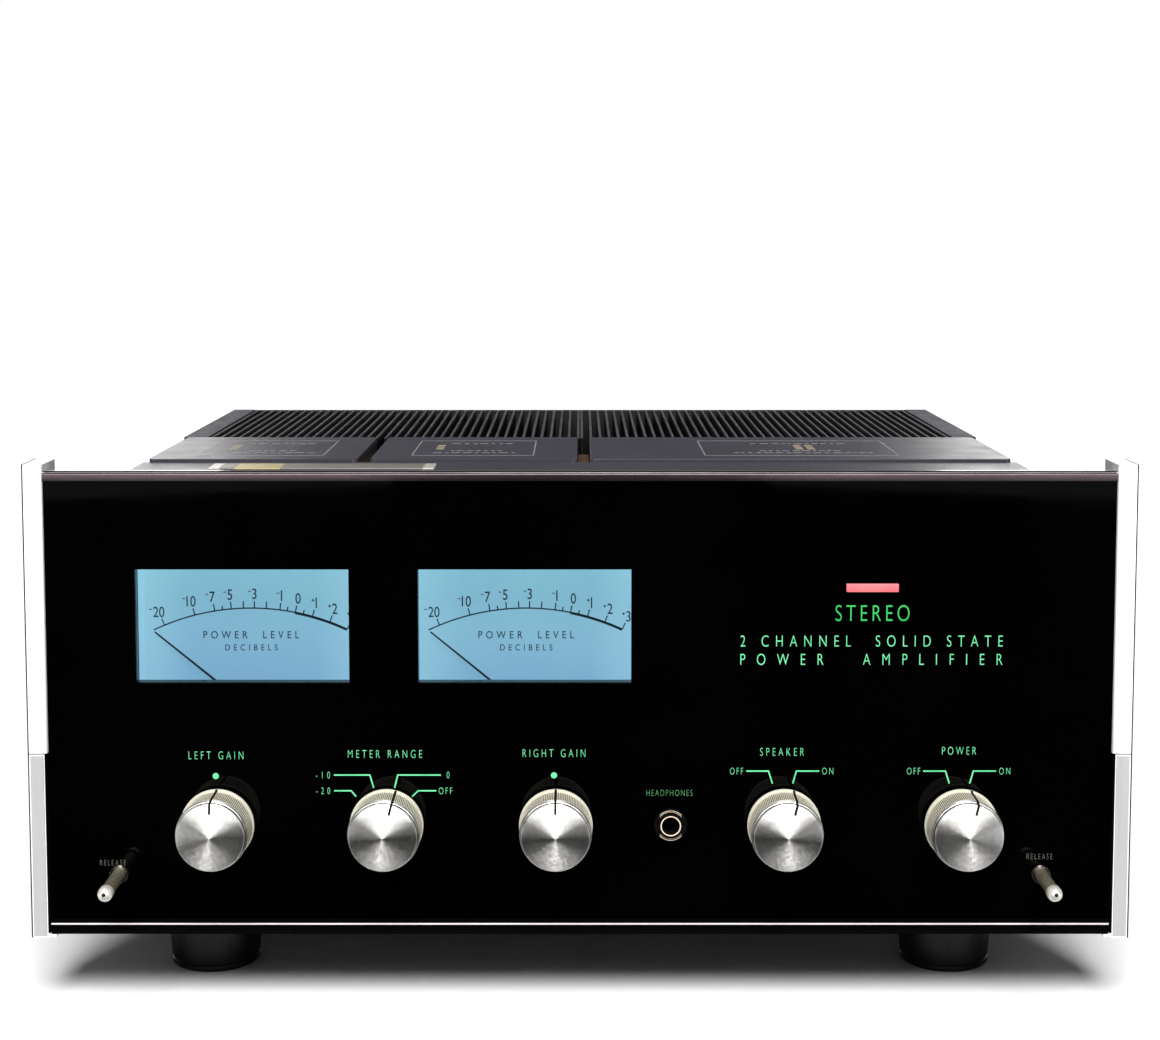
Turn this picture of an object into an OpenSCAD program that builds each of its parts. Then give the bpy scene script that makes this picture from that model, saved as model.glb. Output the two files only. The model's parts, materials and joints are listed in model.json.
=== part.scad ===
// Stereo power amplifier: a black glass front with two meters and five knobs,
// on a steel chassis with three transformer cans and two finned heat sinks.
// Frame: +X right, +Y back, +Z up. The origin is on the floor, under the middle of the bounding box.
// Inside the modules y is counted from the front face of the glass, and seat() moves it to the frame.

/* [Front panel] */
// Width across both end caps
panel_w = 411.2; // [410:0.1:413]
// Height of an end cap
panel_h = 178.4; // [178:0.1:180]
// Height of the end caps' lower ends above the floor
panel_lift = 27; // [26:0.1:28]
// Width of an end cap
cap_w = 7.5; // [7:0.1:8]
// Thickness of the front glass
glass_t = 4; // [3.6:0.1:4.1]
// Width of a meter window
window_w = 79.1; // [76:0.1:79.5]
// Height of a meter window
window_h = 42.6; // [40:0.1:43]
// Middle of the left meter from the middle of the amplifier
left_meter_x = -125.3; // [-127:0.1:-124]
// Middle of the right meter from the middle of the amplifier
right_meter_x = -20.5; // [-22:0.1:-19]
// Height of the middle of the meter windows above the floor
window_z = 144.9; // [144:0.1:146]

/* [Controls] */
// Height of the knob axes above the floor
knob_z = 70.4; // [69:0.1:72]
// Left gain knob from the middle
left_gain_x = -135; // [-136:0.5:-134]
// Meter range knob from the middle
meter_range_x = -72; // [-73:0.5:-71]
// Right gain knob from the middle
right_gain_x = -9; // [-10:0.5:-8]
// Speaker knob from the middle
speaker_x = 76; // [75:0.5:77]
// Power knob from the middle
power_x = 142; // [141:0.5:143]
// Largest diameter of a knob
knob_d = 27.4; // [25:0.1:28]
// Length of a knob
knob_len = 18; // [17:0.1:19]
// Gap between a knob and the glass
knob_gap = 2; // [1.5:0.1:3]
// Angle of the meter range knob and of both switches, clockwise from straight up
detent_angle = 15; // [10:1:20]
// Headphone jack from the middle
jack_x = 33.8; // [32:0.1:35]
// Release pins from the middle
pin_x = 172.5; // [171:0.1:174]
// Height of the release pins above the floor
pin_z = 51; // [50:0.1:52]
// Length of a release pin in front of the glass
pin_out = 25; // [21:0.5:27]

/* [Chassis] */
// Width of the chassis
chassis_w = 375; // [375:0.1:376]
// Depth from the glass to the back of the chassis
chassis_y1 = 344; // [342:0.5:346]
// Height of the deck above the floor
deck_z = 191.5; // [191:0.1:192]
// Height of the tops of the cans and fins above the floor
can_z = 192.7; // [192.4:0.1:193.5]
// Depth from the glass to the front of the cans
can_y0 = 120; // [119:0.5:121]
// Depth of a can
can_d = 85.5; // [84:0.5:86]
// Sheet metal thickness
sheet = 1.5; // [1.2:0.1:1.5]
// Distance between heat sink fins
fin_pitch = 4.35; // [4:0.05:4.5]
// Thickness of a heat sink fin
fin_t = 1.1; // [0.9:0.1:1.3]
// Height of the feet
foot_h = 30; // [30:0.1:30.5]
// Largest diameter of a foot
foot_d = 38.4; // [36:0.2:39]
// Feet from the middle
foot_x = 146; // [144:0.5:148]

/* [Hidden] */
$fn = 64;

// Depths, counted from the front face of the glass
rear_out = 22;                          // how far the fuse cap stands out behind the chassis
y_mid = (chassis_y1 + rear_out - pin_out) / 2;
box_y0 = glass_t + 0.2;                 // light box, front
subpanel_y0 = 17.5;                     // subpanel, front
subpanel_y1 = subpanel_y0 + sheet;
rear_y = chassis_y1 - sheet;            // rear panel, front

// Heights, counted from the floor
glass_z0 = panel_lift + 6.7;
glass_z1 = panel_lift + 172.5;
floor_z = foot_h;                       // underside of the bottom cover
inside_z = foot_h + sheet;
jack_z = panel_lift + 43.1;
sink_z = 150;                           // underside of the heat sinks
rear_z = can_z - 0.3;                   // top of the rear panel

// Widths
glass_w = panel_w - 2 * cap_w;
wall_x = chassis_w / 2;                 // outer face of a side wall
meter_xs = [left_meter_x, right_meter_x];
pot_xs = [left_gain_x, right_gain_x];
switch_xs = [meter_range_x, speaker_x, power_x];
knob_xs = concat(pot_xs, switch_xs);

// Controls
shaft_r = 3.175;
shaft_end = 29;
bush_r = 4.75;
bush_bore = shaft_r + 0.05;
body_hole = bush_r + 0.15;
jack_bore = 3.2;
pin_r = 2.4;
guide_r = 3;
guide_end = 32;
collar_y = guide_end + 0.3;
tab_y = 57.5;                           // tab that carries the back of a release pin
pin_end = 67;

// Latch behind a release pin
latch_arm = 18;
latch_x = pin_x - latch_arm;
latch_half = 3;                         // half of the lever's thickness
latch_y = pin_end + 0.3 + latch_half;
stud_r = 2;
shelf_z = pin_z - 7;

// Meters
case_w = 84;
case_z0 = panel_lift + 75.5;
case_z1 = panel_lift + 141;
case_y0 = box_y0 + 1.3;
case_y1 = 52;
dial_y = 20;
dial_t = 0.8;
pivot_z = panel_lift + 82.2;
needle_len = 47;
needle_tail = 4.2;
needle_rest = -50.6;                    // degrees from straight up
spindle_r = 0.9;

// Pilot lamp
pilot_x = 108.4;
pilot_z = panel_lift + 132.3;
pilot_w = 19.1;
pilot_h = 2.9;

// Cans, as [left, right]
can_gap = 5.8;
cans = [[-185.4, -96], [-96 + can_gap, -1.3], [-1.3 + can_gap, 185.4]];
can_wall = 1.4;

// Screw positions
side_screws = [for (y = [45, 100, 225, 300]) [y, 128]];
rear_screws = [for (x = [-178, -62, 62, 178], z = [40, 142]) [x, z]];
foot_ys = [50, 300];

// Rear connectors, as positions on the rear panel
strip_xs = [-128, -32];
strip_z = 62;
strip_w = 84;
strip_pitch = 15;
outlet_xs = [60, 108];
outlet_z = 62;
input_xs = [-100, -72];
input_z = 112;
mode_x = -20;
mode_z = 112;
fuse_x = 100;
fuse_z = 112;
gland_x = 152;
gland_z = 84;
cord_r = 4;

// ---------- helpers ----------

// Moves a shape from the panel's own depths to the amplifier's frame
module seat() translate([0, -y_mid, 0]) children();

// An outline in X and Z, made into a plate that runs back from y0
module plate(y0, t) translate([0, y0 + t, 0]) rotate([90, 0, 0]) linear_extrude(t) children();

// An outline in Y and Z, made into a bar along X and centred
module bar(length) rotate([90, 0, 90]) linear_extrude(length, center = true) children();

// A round rod along Y
module rod(x, z, y0, y1, r) translate([x, y0, z]) rotate([-90, 0, 0]) cylinder(h = y1 - y0, r = r);

// A box between two corners
module block(a, b) translate(a) cube(b - a);

// A rectangle with round corners
module round_rect(w, h, r) {
    square([w - 2 * r, h], center = true);
    square([w, h - 2 * r], center = true);
    for (x = [-1, 1], y = [-1, 1]) translate([x * (w / 2 - r), y * (h / 2 - r)]) circle(r);
}

// The holes that the controls need in the sheets behind the glass
module control_holes(knob_hole, jack_hole, guide_hole) {
    for (x = knob_xs) translate([x, knob_z]) circle(knob_hole);
    translate([jack_x, jack_z]) circle(jack_hole);
    for (side = [-1, 1]) translate([side * pin_x, pin_z]) circle(guide_hole);
}

// ---------- front panel ----------

module front_glass() seat() color([0.02, 0.02, 0.025]) plate(0, glass_t) difference() {
    translate([-glass_w / 2, glass_z0]) square([glass_w, glass_z1 - glass_z0]);
    control_holes(shaft_r + 1.2, bush_r + 0.25, guide_r + 0.2);
    translate([pilot_x, pilot_z]) square([pilot_w + 0.4, pilot_h + 0.4], center = true);
}

// Black tray behind the glass, with the windows of the meters, that holds the lamps
module light_box() seat() color([0.06, 0.06, 0.06]) difference() {
    block([-195, box_y0, glass_z0 + 1.3], [195, subpanel_y0 - 0.1, glass_z1 - 1.5]);
    block([-193.5, box_y0 + 1, glass_z0 + 2.8], [193.5, subpanel_y0, glass_z1 - 3]);
    plate(box_y0 - 1, 4) {
        for (x = meter_xs) translate([x, window_z]) square([window_w, window_h], center = true);
        translate([pilot_x, pilot_z]) square([pilot_w + 0.4, pilot_h + 0.4], center = true);
        control_holes(shaft_r + 1.2, bush_r + 0.25, guide_r + 0.2);
    }
}

trim_y0 = -1.2;
trim_y1 = 5.2;

module top_trim() seat() color([0.6, 0.52, 0.52]) translate([0, 0, glass_z1]) bar(glass_w)
    polygon([[trim_y0, -0.2], [trim_y0 + 0.8, -0.2], [trim_y0 + 0.8, 0], [trim_y1, 0], [trim_y1, 3.1],
        [3.2, 3.1], [3.2, 2.3], [1.4, 2.3], [1.4, 3.1], [trim_y0 + 0.7, 3.1], [trim_y0, 2.3]]);

module bottom_trim() seat() color([0.75, 0.75, 0.76]) translate([0, 0, glass_z0]) bar(glass_w)
    polygon([[trim_y0 + 0.6, 0], [trim_y0 + 0.6, -0.7], [trim_y0 - 0.4, -0.7], [trim_y0 - 0.4, -1.8],
        [trim_y0 + 0.6, -2], [trim_y0 + 0.6, -4.4], [trim_y0, -4.4], [trim_y0, -5.5], [15, -5.5], [15, 0]]);

// Upright extrusion with round front edges, a fine groove and a small lip at its lower end
module end_cap(side) seat() color([0.86, 0.87, 0.88]) {
    depth = subpanel_y0 + 2;
    translate([side * (panel_w - cap_w) / 2, 0, panel_lift]) difference() {
        linear_extrude(panel_h) {
            translate([0, depth / 2 - 2]) round_rect(cap_w, depth, 1.2);
            translate([-cap_w / 2, subpanel_y0 - 5]) square([cap_w, 5]);
        }
        translate([-side * (cap_w / 2 - 1.3), -2, -1]) linear_extrude(panel_h + 2)
            square([0.5, 1.2], center = true);
    }
    mirror([side < 0 ? 1 : 0, 0, 0])
        block([glass_w / 2 - 1.8, -1, panel_lift], [glass_w / 2 + 0.5, 15, panel_lift + 1.1]);
}
module end_cap_left() end_cap(-1);
module end_cap_right() end_cap(1);

module front_subpanel() seat() color([0.6, 0.6, 0.58]) plate(subpanel_y0, sheet) difference() {
    translate([-glass_w / 2, floor_z]) square([glass_w, deck_z - sheet - floor_z]);
    for (x = meter_xs) translate([x - case_w / 2 - 0.3, case_z0 - 0.3])
        square([case_w + 0.6, case_z1 - case_z0 + 0.6]);
    control_holes(body_hole, body_hole, guide_r + 0.1);
}

// ---------- meters ----------

// Box that is open in front, with the housing of the moving coil on its back wall
module meter_case(x) difference() {
    union() {
        difference() {
            block([x - case_w / 2, case_y0, case_z0], [x + case_w / 2, case_y1, case_z1]);
            block([x - case_w / 2 + 1.5, case_y0 - 1, case_z0 + 1.5],
                [x + case_w / 2 - 1.5, case_y1 - 1.5, case_z1 - 1.5]);
        }
        for (dx = [-1, 1])
            block([x + dx * 36 - 2, dial_y + dial_t, case_z1 - 6],
                [x + dx * 36 + 2, case_y1 - 1, case_z1 - 1]);
        rod(x, pivot_z, 26, case_y1 - 1, 5.2);
        rod(x, pivot_z + 16, 34, case_y1 - 1, 12);
    }
    rod(x, pivot_z, 25, 46, spindle_r + 0.05);
}
module meter_cases() seat() color([0.1, 0.1, 0.1]) for (x = meter_xs) meter_case(x);

module meter_dials() seat() color([0.5, 0.72, 0.8]) for (x = meter_xs)
    plate(dial_y, dial_t) difference() {
        translate([x - case_w / 2 + 1.6, case_z0 + 1.6])
            square([case_w - 3.2, case_z1 - case_z0 - 3.2]);
        translate([x, pivot_z]) circle(2.6);
    }

// Needle, hub and spindle of a meter, at rest against the stop at the left
module pointer(x) seat() color([0.05, 0.05, 0.08])
    translate([x, 0, pivot_z]) rotate([0, needle_rest, 0]) {
        plate(17.6, 0.6) difference() {
            union() {
                circle(2.2);
                polygon([[-0.5, -needle_tail], [0.5, -needle_tail],
                         [0.25, needle_len], [-0.25, needle_len]]);
            }
            circle(0.3);
        }
        rod(0, 0, 17.8, 45, spindle_r);
    }
module pointer_left() pointer(left_meter_x);
module pointer_right() pointer(right_meter_x);

// Tubular lamps in the light box, above the meters and behind the lettering
module panel_lamps() seat() color([0.95, 0.93, 0.8])
    for (p = [[left_meter_x, 184], [right_meter_x, 184], [85, 126], [132, 126]])
        translate([p[0], 11, p[1]]) rotate([0, 90, 0]) {
            cylinder(h = 30, r = 3, center = true);
            for (end = [-1, 1]) translate([0, 0, end * 17]) cylinder(h = 6, r = 3.3, center = true);
        }

module pilot_lens() seat() color([0.85, 0.25, 0.28]) {
    plate(-0.4, 9) translate([pilot_x, pilot_z]) square([pilot_w, pilot_h], center = true);
    plate(box_y0 + 1.2, 3) translate([pilot_x, pilot_z])
        square([pilot_w + 3, pilot_h + 3], center = true);
}

// ---------- controls ----------

// Knob with a skirt and a shallow cone for a face, its pointer groove turned by angle from straight up
module knob(x, angle) seat() color([0.75, 0.74, 0.72]) {
    r = knob_d / 2;
    translate([x, -knob_gap, knob_z]) rotate([0, angle, 0]) rotate([90, 0, 0]) difference() {
        rotate_extrude($fn = 128) polygon([
            [shaft_r + 0.025, 0], [5.6, 0], [5.6, 8], [r - 2.6, 8], [r - 2.6, 0],
            [r - 0.5, 0], [r, 0.6], [r, 1.6], [r - 0.4, 2.2], [r - 0.5, knob_len - 4],
            [r - 1.2, knob_len - 3.4], [r - 1.2, knob_len - 1.6], [r - 1.7, knob_len - 1.1],
            [r - 2.4, knob_len - 1], [0, knob_len], [0, knob_len - 4],
            [shaft_r + 0.025, knob_len - 4]]);
        block([-0.5, r - 1.6, 1], [0.5, r + 1, knob_len + 1]);
        block([-0.5, r - 4.4, knob_len - 1.9], [0.5, r, knob_len + 1]);
    }
}
module knob_left_gain() knob(left_gain_x, 0);
module knob_meter_range() knob(meter_range_x, detent_angle);
module knob_right_gain() knob(right_gain_x, 0);
module knob_speaker() knob(speaker_x, detent_angle);
module knob_power() knob(power_x, detent_angle);

// Shaft with a flat under the knob
module shaft(x) seat() color([0.8, 0.78, 0.7]) difference() {
    rod(x, knob_z, 4.2 - knob_gap - knob_len, shaft_end, shaft_r);
    block([x - 5, -20, knob_z - shaft_r - 1], [x + 5, -3, knob_z - shaft_r + 0.8]);
}
module shaft_left_gain() shaft(left_gain_x);
module shaft_meter_range() shaft(meter_range_x);
module shaft_right_gain() shaft(right_gain_x);
module shaft_speaker() shaft(speaker_x);
module shaft_power() shaft(power_x);

module gain_pots() seat() color([0.55, 0.5, 0.42]) for (x = pot_xs) difference() {
    union() {
        rod(x, knob_z, 12, subpanel_y1 + 1, bush_r);
        rod(x, knob_z, subpanel_y1, 31, 12);
        for (dx = [-6, 0, 6]) block([x + dx - 1.2, 24, knob_z - 19], [x + dx + 1.2, 24.8, knob_z - 8]);
    }
    rod(x, knob_z, 11, shaft_end + 0.5, bush_bore);
}

// Rotary switches: an index plate, two wafers and the posts that hold them
module rotary_switches() seat() color([0.62, 0.45, 0.25]) for (x = switch_xs) difference() {
    union() {
        rod(x, knob_z, 12, subpanel_y1 + 1, bush_r);
        rod(x, knob_z, subpanel_y1, 22, 15);
        rod(x, knob_z, 22, 44, 7);
        for (y = [30, 39]) rod(x, knob_z, y, y + 1.6, 16);
        for (dx = [-13, 13]) rod(x + dx, knob_z, 21, 43, 1.5);
    }
    rod(x, knob_z, 11, shaft_end + 0.5, bush_bore);
}

// Hexagon nuts that clamp the controls to the subpanel, and the ring nut of the headphone jack
module bush_nuts() seat() color([0.82, 0.8, 0.76]) {
    for (x = knob_xs) difference() {
        translate([x, subpanel_y0, knob_z]) rotate([90, 0, 0]) cylinder(h = 3.2, r = 7.3, $fn = 6);
        rod(x, knob_z, 10, 20, bush_r + 0.05);
    }
    difference() {
        rod(jack_x, jack_z, -2.2, 0, 6.1);
        rod(jack_x, jack_z, -3, 1, bush_r + 0.05);
    }
}

module headphone_jack() seat() color([0.8, 0.76, 0.66]) difference() {
    union() {
        rod(jack_x, jack_z, -3, subpanel_y1 + 1, bush_r);
        block([jack_x - 9, subpanel_y1, jack_z - 9], [jack_x + 9, 38, jack_z + 9]);
        for (dz = [-4, 0, 4]) block([jack_x - 2, 37, jack_z + dz - 0.4], [jack_x + 2, 43, jack_z + dz + 0.4]);
    }
    rod(jack_x, jack_z, -4, 34, jack_bore);
}

// Bushes that the release pins slide in, each with two thin flanges in front
module pin_guides() seat() color([0.75, 0.72, 0.66]) for (side = [-1, 1]) difference() {
    union() {
        rod(side * pin_x, pin_z, -0.7, 0, guide_r + 0.4);
        rod(side * pin_x, pin_z, -2, -1.4, guide_r + 0.3);
        rod(side * pin_x, pin_z, -1.8, guide_end, guide_r);
    }
    rod(side * pin_x, pin_z, -3, guide_end + 1, pin_r + 0.05);
}

// Rod with a round head in front, a collar for its spring and a thin end that meets the latch
module release_pin(side) seat() color([0.82, 0.78, 0.7]) {
    x = side * pin_x;
    head_r = 2.75;
    rod(x, pin_z, -pin_out + head_r, 61, pin_r);
    rod(x, pin_z, -pin_out + head_r, -pin_out + head_r + 3, head_r);
    translate([x, -pin_out + head_r, pin_z]) sphere(head_r);
    rod(x, pin_z, collar_y, collar_y + 2, 4.4);
    rod(x, pin_z, 60, pin_end - 1.5, 1.5);
    translate([x, pin_end - 1.5, pin_z]) sphere(1.5);
}
module release_pin_left() release_pin(-1);
module release_pin_right() release_pin(1);

// Compression spring between the collar and the tab: a round wire swept along a helix
spring_turns = 7;
spring_steps = 14;                      // rings in one turn
wire_r = 0.45;
coil_r = 3.6;
spring_y0 = collar_y + 2 + wire_r;
spring_y1 = tab_y - wire_r;

function coil_point(k) = let (a = 360 * k / spring_steps,
    last = spring_turns * spring_steps)
    [coil_r * cos(a), spring_y0 + (spring_y1 - spring_y0) * k / last, coil_r * sin(a)];

module release_spring(side) seat() color([0.7, 0.7, 0.72]) translate([side * pin_x, 0, pin_z]) {
    sides = 8;
    last = spring_turns * spring_steps;
    points = [for (k = [0:last], s = [0:sides - 1]) let (
        a = 360 * k / spring_steps,
        out = [cos(a), 0, sin(a)],
        b = 360 * s / sides)
        coil_point(k) + wire_r * (cos(b) * out + sin(b) * [0, 1, 0])];
    walls = [for (k = [0:last - 1], s = [0:sides - 1]) let (t = (s + 1) % sides)
        [k * sides + s, k * sides + t, (k + 1) * sides + t, (k + 1) * sides + s]];
    first_end = [for (s = [sides - 1:-1:0]) s];
    last_end = [for (s = [0:sides - 1]) last * sides + s];
    polyhedron(points, concat(walls, [first_end, last_end]));
}
module release_spring_left() release_spring(-1);
module release_spring_right() release_spring(1);

// Lever on a stud that the release pin swings back, drawn for the right side
module latch(side) seat() color([0.65, 0.65, 0.66]) mirror([side < 0 ? 1 : 0, 0, 0])
    translate([latch_x, latch_y, pin_z - 2.5]) linear_extrude(5) difference() {
        union() {
            circle(5);
            translate([0, -latch_half]) square([wall_x + 3 - latch_x, 2 * latch_half]);
            translate([wall_x - latch_x + 0.4, -latch_half - 2]) square([2.6, 4]);
        }
        circle(stud_r + 0.05);
    }
module latch_left() latch(-1);
module latch_right() latch(1);

// ---------- chassis ----------

// Wall with a step under the heat sink and a shelf that carries the latch and the release pin's tab
module side_wall(side) seat() color([0.5, 0.5, 0.55]) mirror([side < 0 ? 1 : 0, 0, 0]) {
    difference() {
        translate([wall_x - sheet / 2, 0, 0]) bar(sheet) difference() {
            polygon([[subpanel_y1, floor_z], [chassis_y1, floor_z], [chassis_y1, sink_z],
                [can_y0 + can_d + 0.5, sink_z], [can_y0 + can_d + 0.5, deck_z - sheet],
                [subpanel_y1, deck_z - sheet]]);
            for (p = side_screws) translate(p) circle(1.6);
        }
        block([wall_x - 5, latch_y - 7, pin_z - 4], [wall_x + 5, latch_y + 22, pin_z + 4]);
    }
    block([latch_x - 6, tab_y, shelf_z], [wall_x - sheet / 2, latch_y + 24, shelf_z + sheet]);
    difference() {
        block([pin_x - 9, tab_y, shelf_z], [wall_x - sheet / 2, tab_y + sheet, pin_z + 8]);
        rod(pin_x, pin_z, tab_y - 1, tab_y + sheet + 1, pin_r + 0.05);
    }
    translate([latch_x, latch_y, shelf_z]) cylinder(h = pin_z + 5 - shelf_z, r = stud_r);
    translate([latch_x, latch_y, shelf_z]) cylinder(h = pin_z - 2.7 - shelf_z, r = stud_r + 2);
}
module side_wall_left() side_wall(-1);
module side_wall_right() side_wall(1);

// Sheet under the chassis, with two fields of vent slots
module bottom_cover() seat() color([0.35, 0.35, 0.37]) difference() {
    block([-wall_x + sheet, subpanel_y1, floor_z], [wall_x - sheet, rear_y, inside_z]);
    for (x = [-110:14:110]) if (abs(x) > 20)
        block([x - 2, 225, floor_z - 1], [x + 2, 275, inside_z + 1]);
    for (x = [-foot_x, foot_x], y = foot_ys)
        translate([x, y, floor_z - 1]) cylinder(h = 4, r = 2.6);
}

module rear_panel() seat() color([0.12, 0.12, 0.13]) plate(rear_y, sheet) difference() {
    translate([-wall_x + sheet, floor_z]) square([2 * (wall_x - sheet), rear_z - floor_z]);
    for (p = rear_screws) translate(p) circle(1.6);
    for (x = input_xs) translate([x, input_z]) circle(5.1);
    for (x = outlet_xs) translate([x, outlet_z]) square([30, 24], center = true);
    for (x = strip_xs) translate([x, strip_z]) square([strip_w - 14, 8], center = true);
    translate([mode_x, mode_z]) square([12.5, 5.4], center = true);
    translate([fuse_x, fuse_z]) circle(6.6);
    translate([gland_x, gland_z]) circle(7.1);
}

// Deck in front of the cans, with a wall that runs down in front of them
module top_deck() seat() color([0.5, 0.5, 0.58]) {
    block([-wall_x, subpanel_y0, deck_z - sheet], [wall_x, can_y0 - 0.6, deck_z]);
    block([-wall_x + sheet, can_y0 - 0.6 - sheet, 100], [wall_x - sheet, can_y0 - 0.6, deck_z - 0.5]);
}

// Blank plate for the name on the deck, divided near its ends
module label_plate() seat() color([0.85, 0.8, 0.6]) difference() {
    block([-155, 94, deck_z], [-61, 110, deck_z + 0.6]);
    for (x = [-150.5, -66]) block([x, 93, deck_z + 0.3], [x + 0.6, 111, deck_z + 1]);
}

// Can over a transformer, open below
module can(i) seat() color([0.48, 0.48, 0.56]) {
    x0 = cans[i][0];
    x1 = cans[i][1];
    translate([(x0 + x1) / 2, can_y0 + can_d / 2, inside_z]) difference() {
        linear_extrude(can_z - inside_z) round_rect(x1 - x0, can_d, 2);
        translate([0, 0, -1]) linear_extrude(can_z - inside_z + 1 - can_wall)
            square([x1 - x0 - 2 * can_wall, can_d - 2 * can_wall], center = true);
    }
}
module can_left() can(0);
module can_middle() can(1);
module can_right() can(2);

// Laminated core: a flat frame with a leg across its middle, w wide, h high and d deep
module core(w, h, d) difference() {
    translate([0, d / 2, h / 2]) cube([w, d, h], center = true);
    for (side = [-1, 1]) translate([side * w / 4, d / 2, h / 2])
        cube([w / 4, d + 2, h - w / 3], center = true);
}

// Winding on the middle leg of the same core
module winding(w, h, d) {
    tall = h - w / 3 - 3;
    thick = min(w / 4 - 3, 20);
    translate([0, d / 2, (h - tall) / 2]) linear_extrude(tall) difference() {
        round_rect(w / 4 + 2 * thick, d + 2 * thick, 4);
        square([w / 4 + 0.6, d + 0.6], center = true);
    }
}

// Sizes of the three cores
core_sizes = [[72, 96, 40], [72, 96, 40], [116, 118, 36]];

module in_cans() for (i = [0:2]) let (s = core_sizes[i])
    translate([(cans[i][0] + cans[i][1]) / 2, can_y0 + (can_d - s[2]) / 2, inside_z]) {
        $core = s;
        children();
    }
module transformer_cores() seat() color([0.3, 0.3, 0.32]) in_cans()
    core($core[0], $core[1], $core[2]);
module transformer_windings() seat() color([0.72, 0.42, 0.2]) in_cans()
    winding($core[0], $core[1], $core[2]);

// Finned extrusion along Y: a base, a side wall with a flat flange, and the fins
module heat_sink(side) seat() color([0.22, 0.22, 0.26]) mirror([side < 0 ? 1 : 0, 0, 0]) {
    y0 = can_y0 + can_d + 0.5;
    flange_w = 11;
    inner_x = 0.3;
    wall_t = 2.5;
    fins = floor((wall_x - wall_t - inner_x) / fin_pitch);
    plate(y0, rear_y - 0.3 - y0) {
        translate([inner_x, sink_z]) square([wall_x - inner_x, 5]);
        translate([wall_x - wall_t, sink_z]) square([wall_t, can_z - sink_z]);
        translate([wall_x - flange_w, can_z - 2]) square([flange_w, 2]);
        for (i = [0:fins - 1]) translate([inner_x + i * fin_pitch, sink_z])
            square([fin_t, can_z - sink_z - 0.4]);
    }
}
module heat_sink_left() heat_sink(-1);
module heat_sink_right() heat_sink(1);

// ---------- electronics ----------

// Transistors with a two-hole flange and a round can, under the heat sinks
module output_transistors() seat() color([0.7, 0.7, 0.7])
    for (side = [-1, 1], x = [45, 95, 145], y = [235, 315])
        translate([side * x, y, sink_z - 1.6]) {
            linear_extrude(1.6) {
                circle(11.5);
                round_rect(36, 8, 3.9);
            }
            translate([0, 0, -6]) cylinder(h = 7, r = 10);
            for (dx = [-5.5, 5.5]) translate([dx, 3, -12]) cylinder(h = 7, r = 0.6);
        }

// Driver board on posts, with rows of parts
module driver_board() {
    translate([0, 0, 60]) {
        block([30, 222, 0], [170, 320, 1.6]);
        for (x = [40:20:160], y = [235, 260]) block([x - 5, y, 1.5], [x + 5, y + 4, 5]);
        for (x = [45, 80, 115, 150]) translate([x, 285, 1.5]) cylinder(h = 16, r = 5);
        for (x = [50, 100, 150]) block([x - 9, 305, 1.5], [x + 9, 311, 14]);
    }
    for (x = [36, 164], y = [228, 314]) translate([x, y, inside_z]) cylinder(h = 29, r = 3);
}
module circuit_boards() seat() color([0.5, 0.42, 0.2]) {
    driver_board();
    mirror([1, 0, 0]) driver_board();
    translate([0, 0, inside_z]) {
        block([-0.8, 222, 0], [0.8, 328, 70]);
        block([-8, 222, 0], [8, 225, 8]);
        for (y = [245, 265, 285]) translate([0.7, y, 45]) rotate([0, 90, 0]) cylinder(h = 12, r = 6);
    }
}

// Reservoir capacitors, each with two screw terminals
module filter_capacitors() seat() color([0.2, 0.35, 0.6])
    for (x = [-115, -60, 60, 115]) translate([x, 88, inside_z]) {
        cylinder(h = 118, r = 25);
        for (dx = [-10, 10]) translate([dx, 0, 117]) cylinder(h = 6, r = 4);
    }

// ---------- rear ----------

module input_jacks() seat() color([0.8, 0.78, 0.72]) for (x = input_xs) difference() {
    union() {
        rod(x, input_z, chassis_y1, chassis_y1 + 1.5, 7);
        rod(x, input_z, chassis_y1 + 1, chassis_y1 + 11, 4.15);
        rod(x, input_z, rear_y - 8, chassis_y1 + 1, 5);
    }
    rod(x, input_z, rear_y - 2, chassis_y1 + 12, 1.65);
}

// Positions of the screws along a strip
strip_steps = [for (i = [-2:2]) i * strip_pitch];

module speaker_strips() seat() color([0.09, 0.07, 0.06]) for (x = strip_xs) difference() {
    union() {
        block([x - strip_w / 2, chassis_y1, strip_z - 11], [x + strip_w / 2, chassis_y1 + 6, strip_z + 11]);
        for (i = [-3:2]) block([x + (i + 0.5) * strip_pitch - 1, chassis_y1, strip_z - 11],
            [x + (i + 0.5) * strip_pitch + 1, chassis_y1 + 13, strip_z + 11]);
        block([x - strip_w / 2 + 8, rear_y - 4, strip_z - 3.5],
            [x + strip_w / 2 - 8, chassis_y1 + 1, strip_z + 3.5]);
    }
    for (dx = strip_steps) rod(x + dx, strip_z, chassis_y1 - 3, chassis_y1 + 7, 1.8);
    for (side = [-1, 1]) rod(x + side * (strip_w / 2 - 2.2), strip_z, chassis_y1 - 1, chassis_y1 + 7, 1.2);
}

module screw(head_r, head_h, shank_r, shank_l) {
    difference() {
        cylinder(h = head_h, r = head_r);
        translate([0, 0, head_h]) cube([2 * head_r + 1, 0.8, 1.4], center = true);
    }
    translate([0, 0, -shank_l]) cylinder(h = shank_l + 0.1, r = shank_r);
}

module terminal_screws() seat() color([0.8, 0.78, 0.72])
    for (x = strip_xs, dx = strip_steps)
        translate([x + dx, chassis_y1 + 6, strip_z]) rotate([-90, 0, 0]) screw(3.6, 2.4, 1.75, 8);

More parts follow.
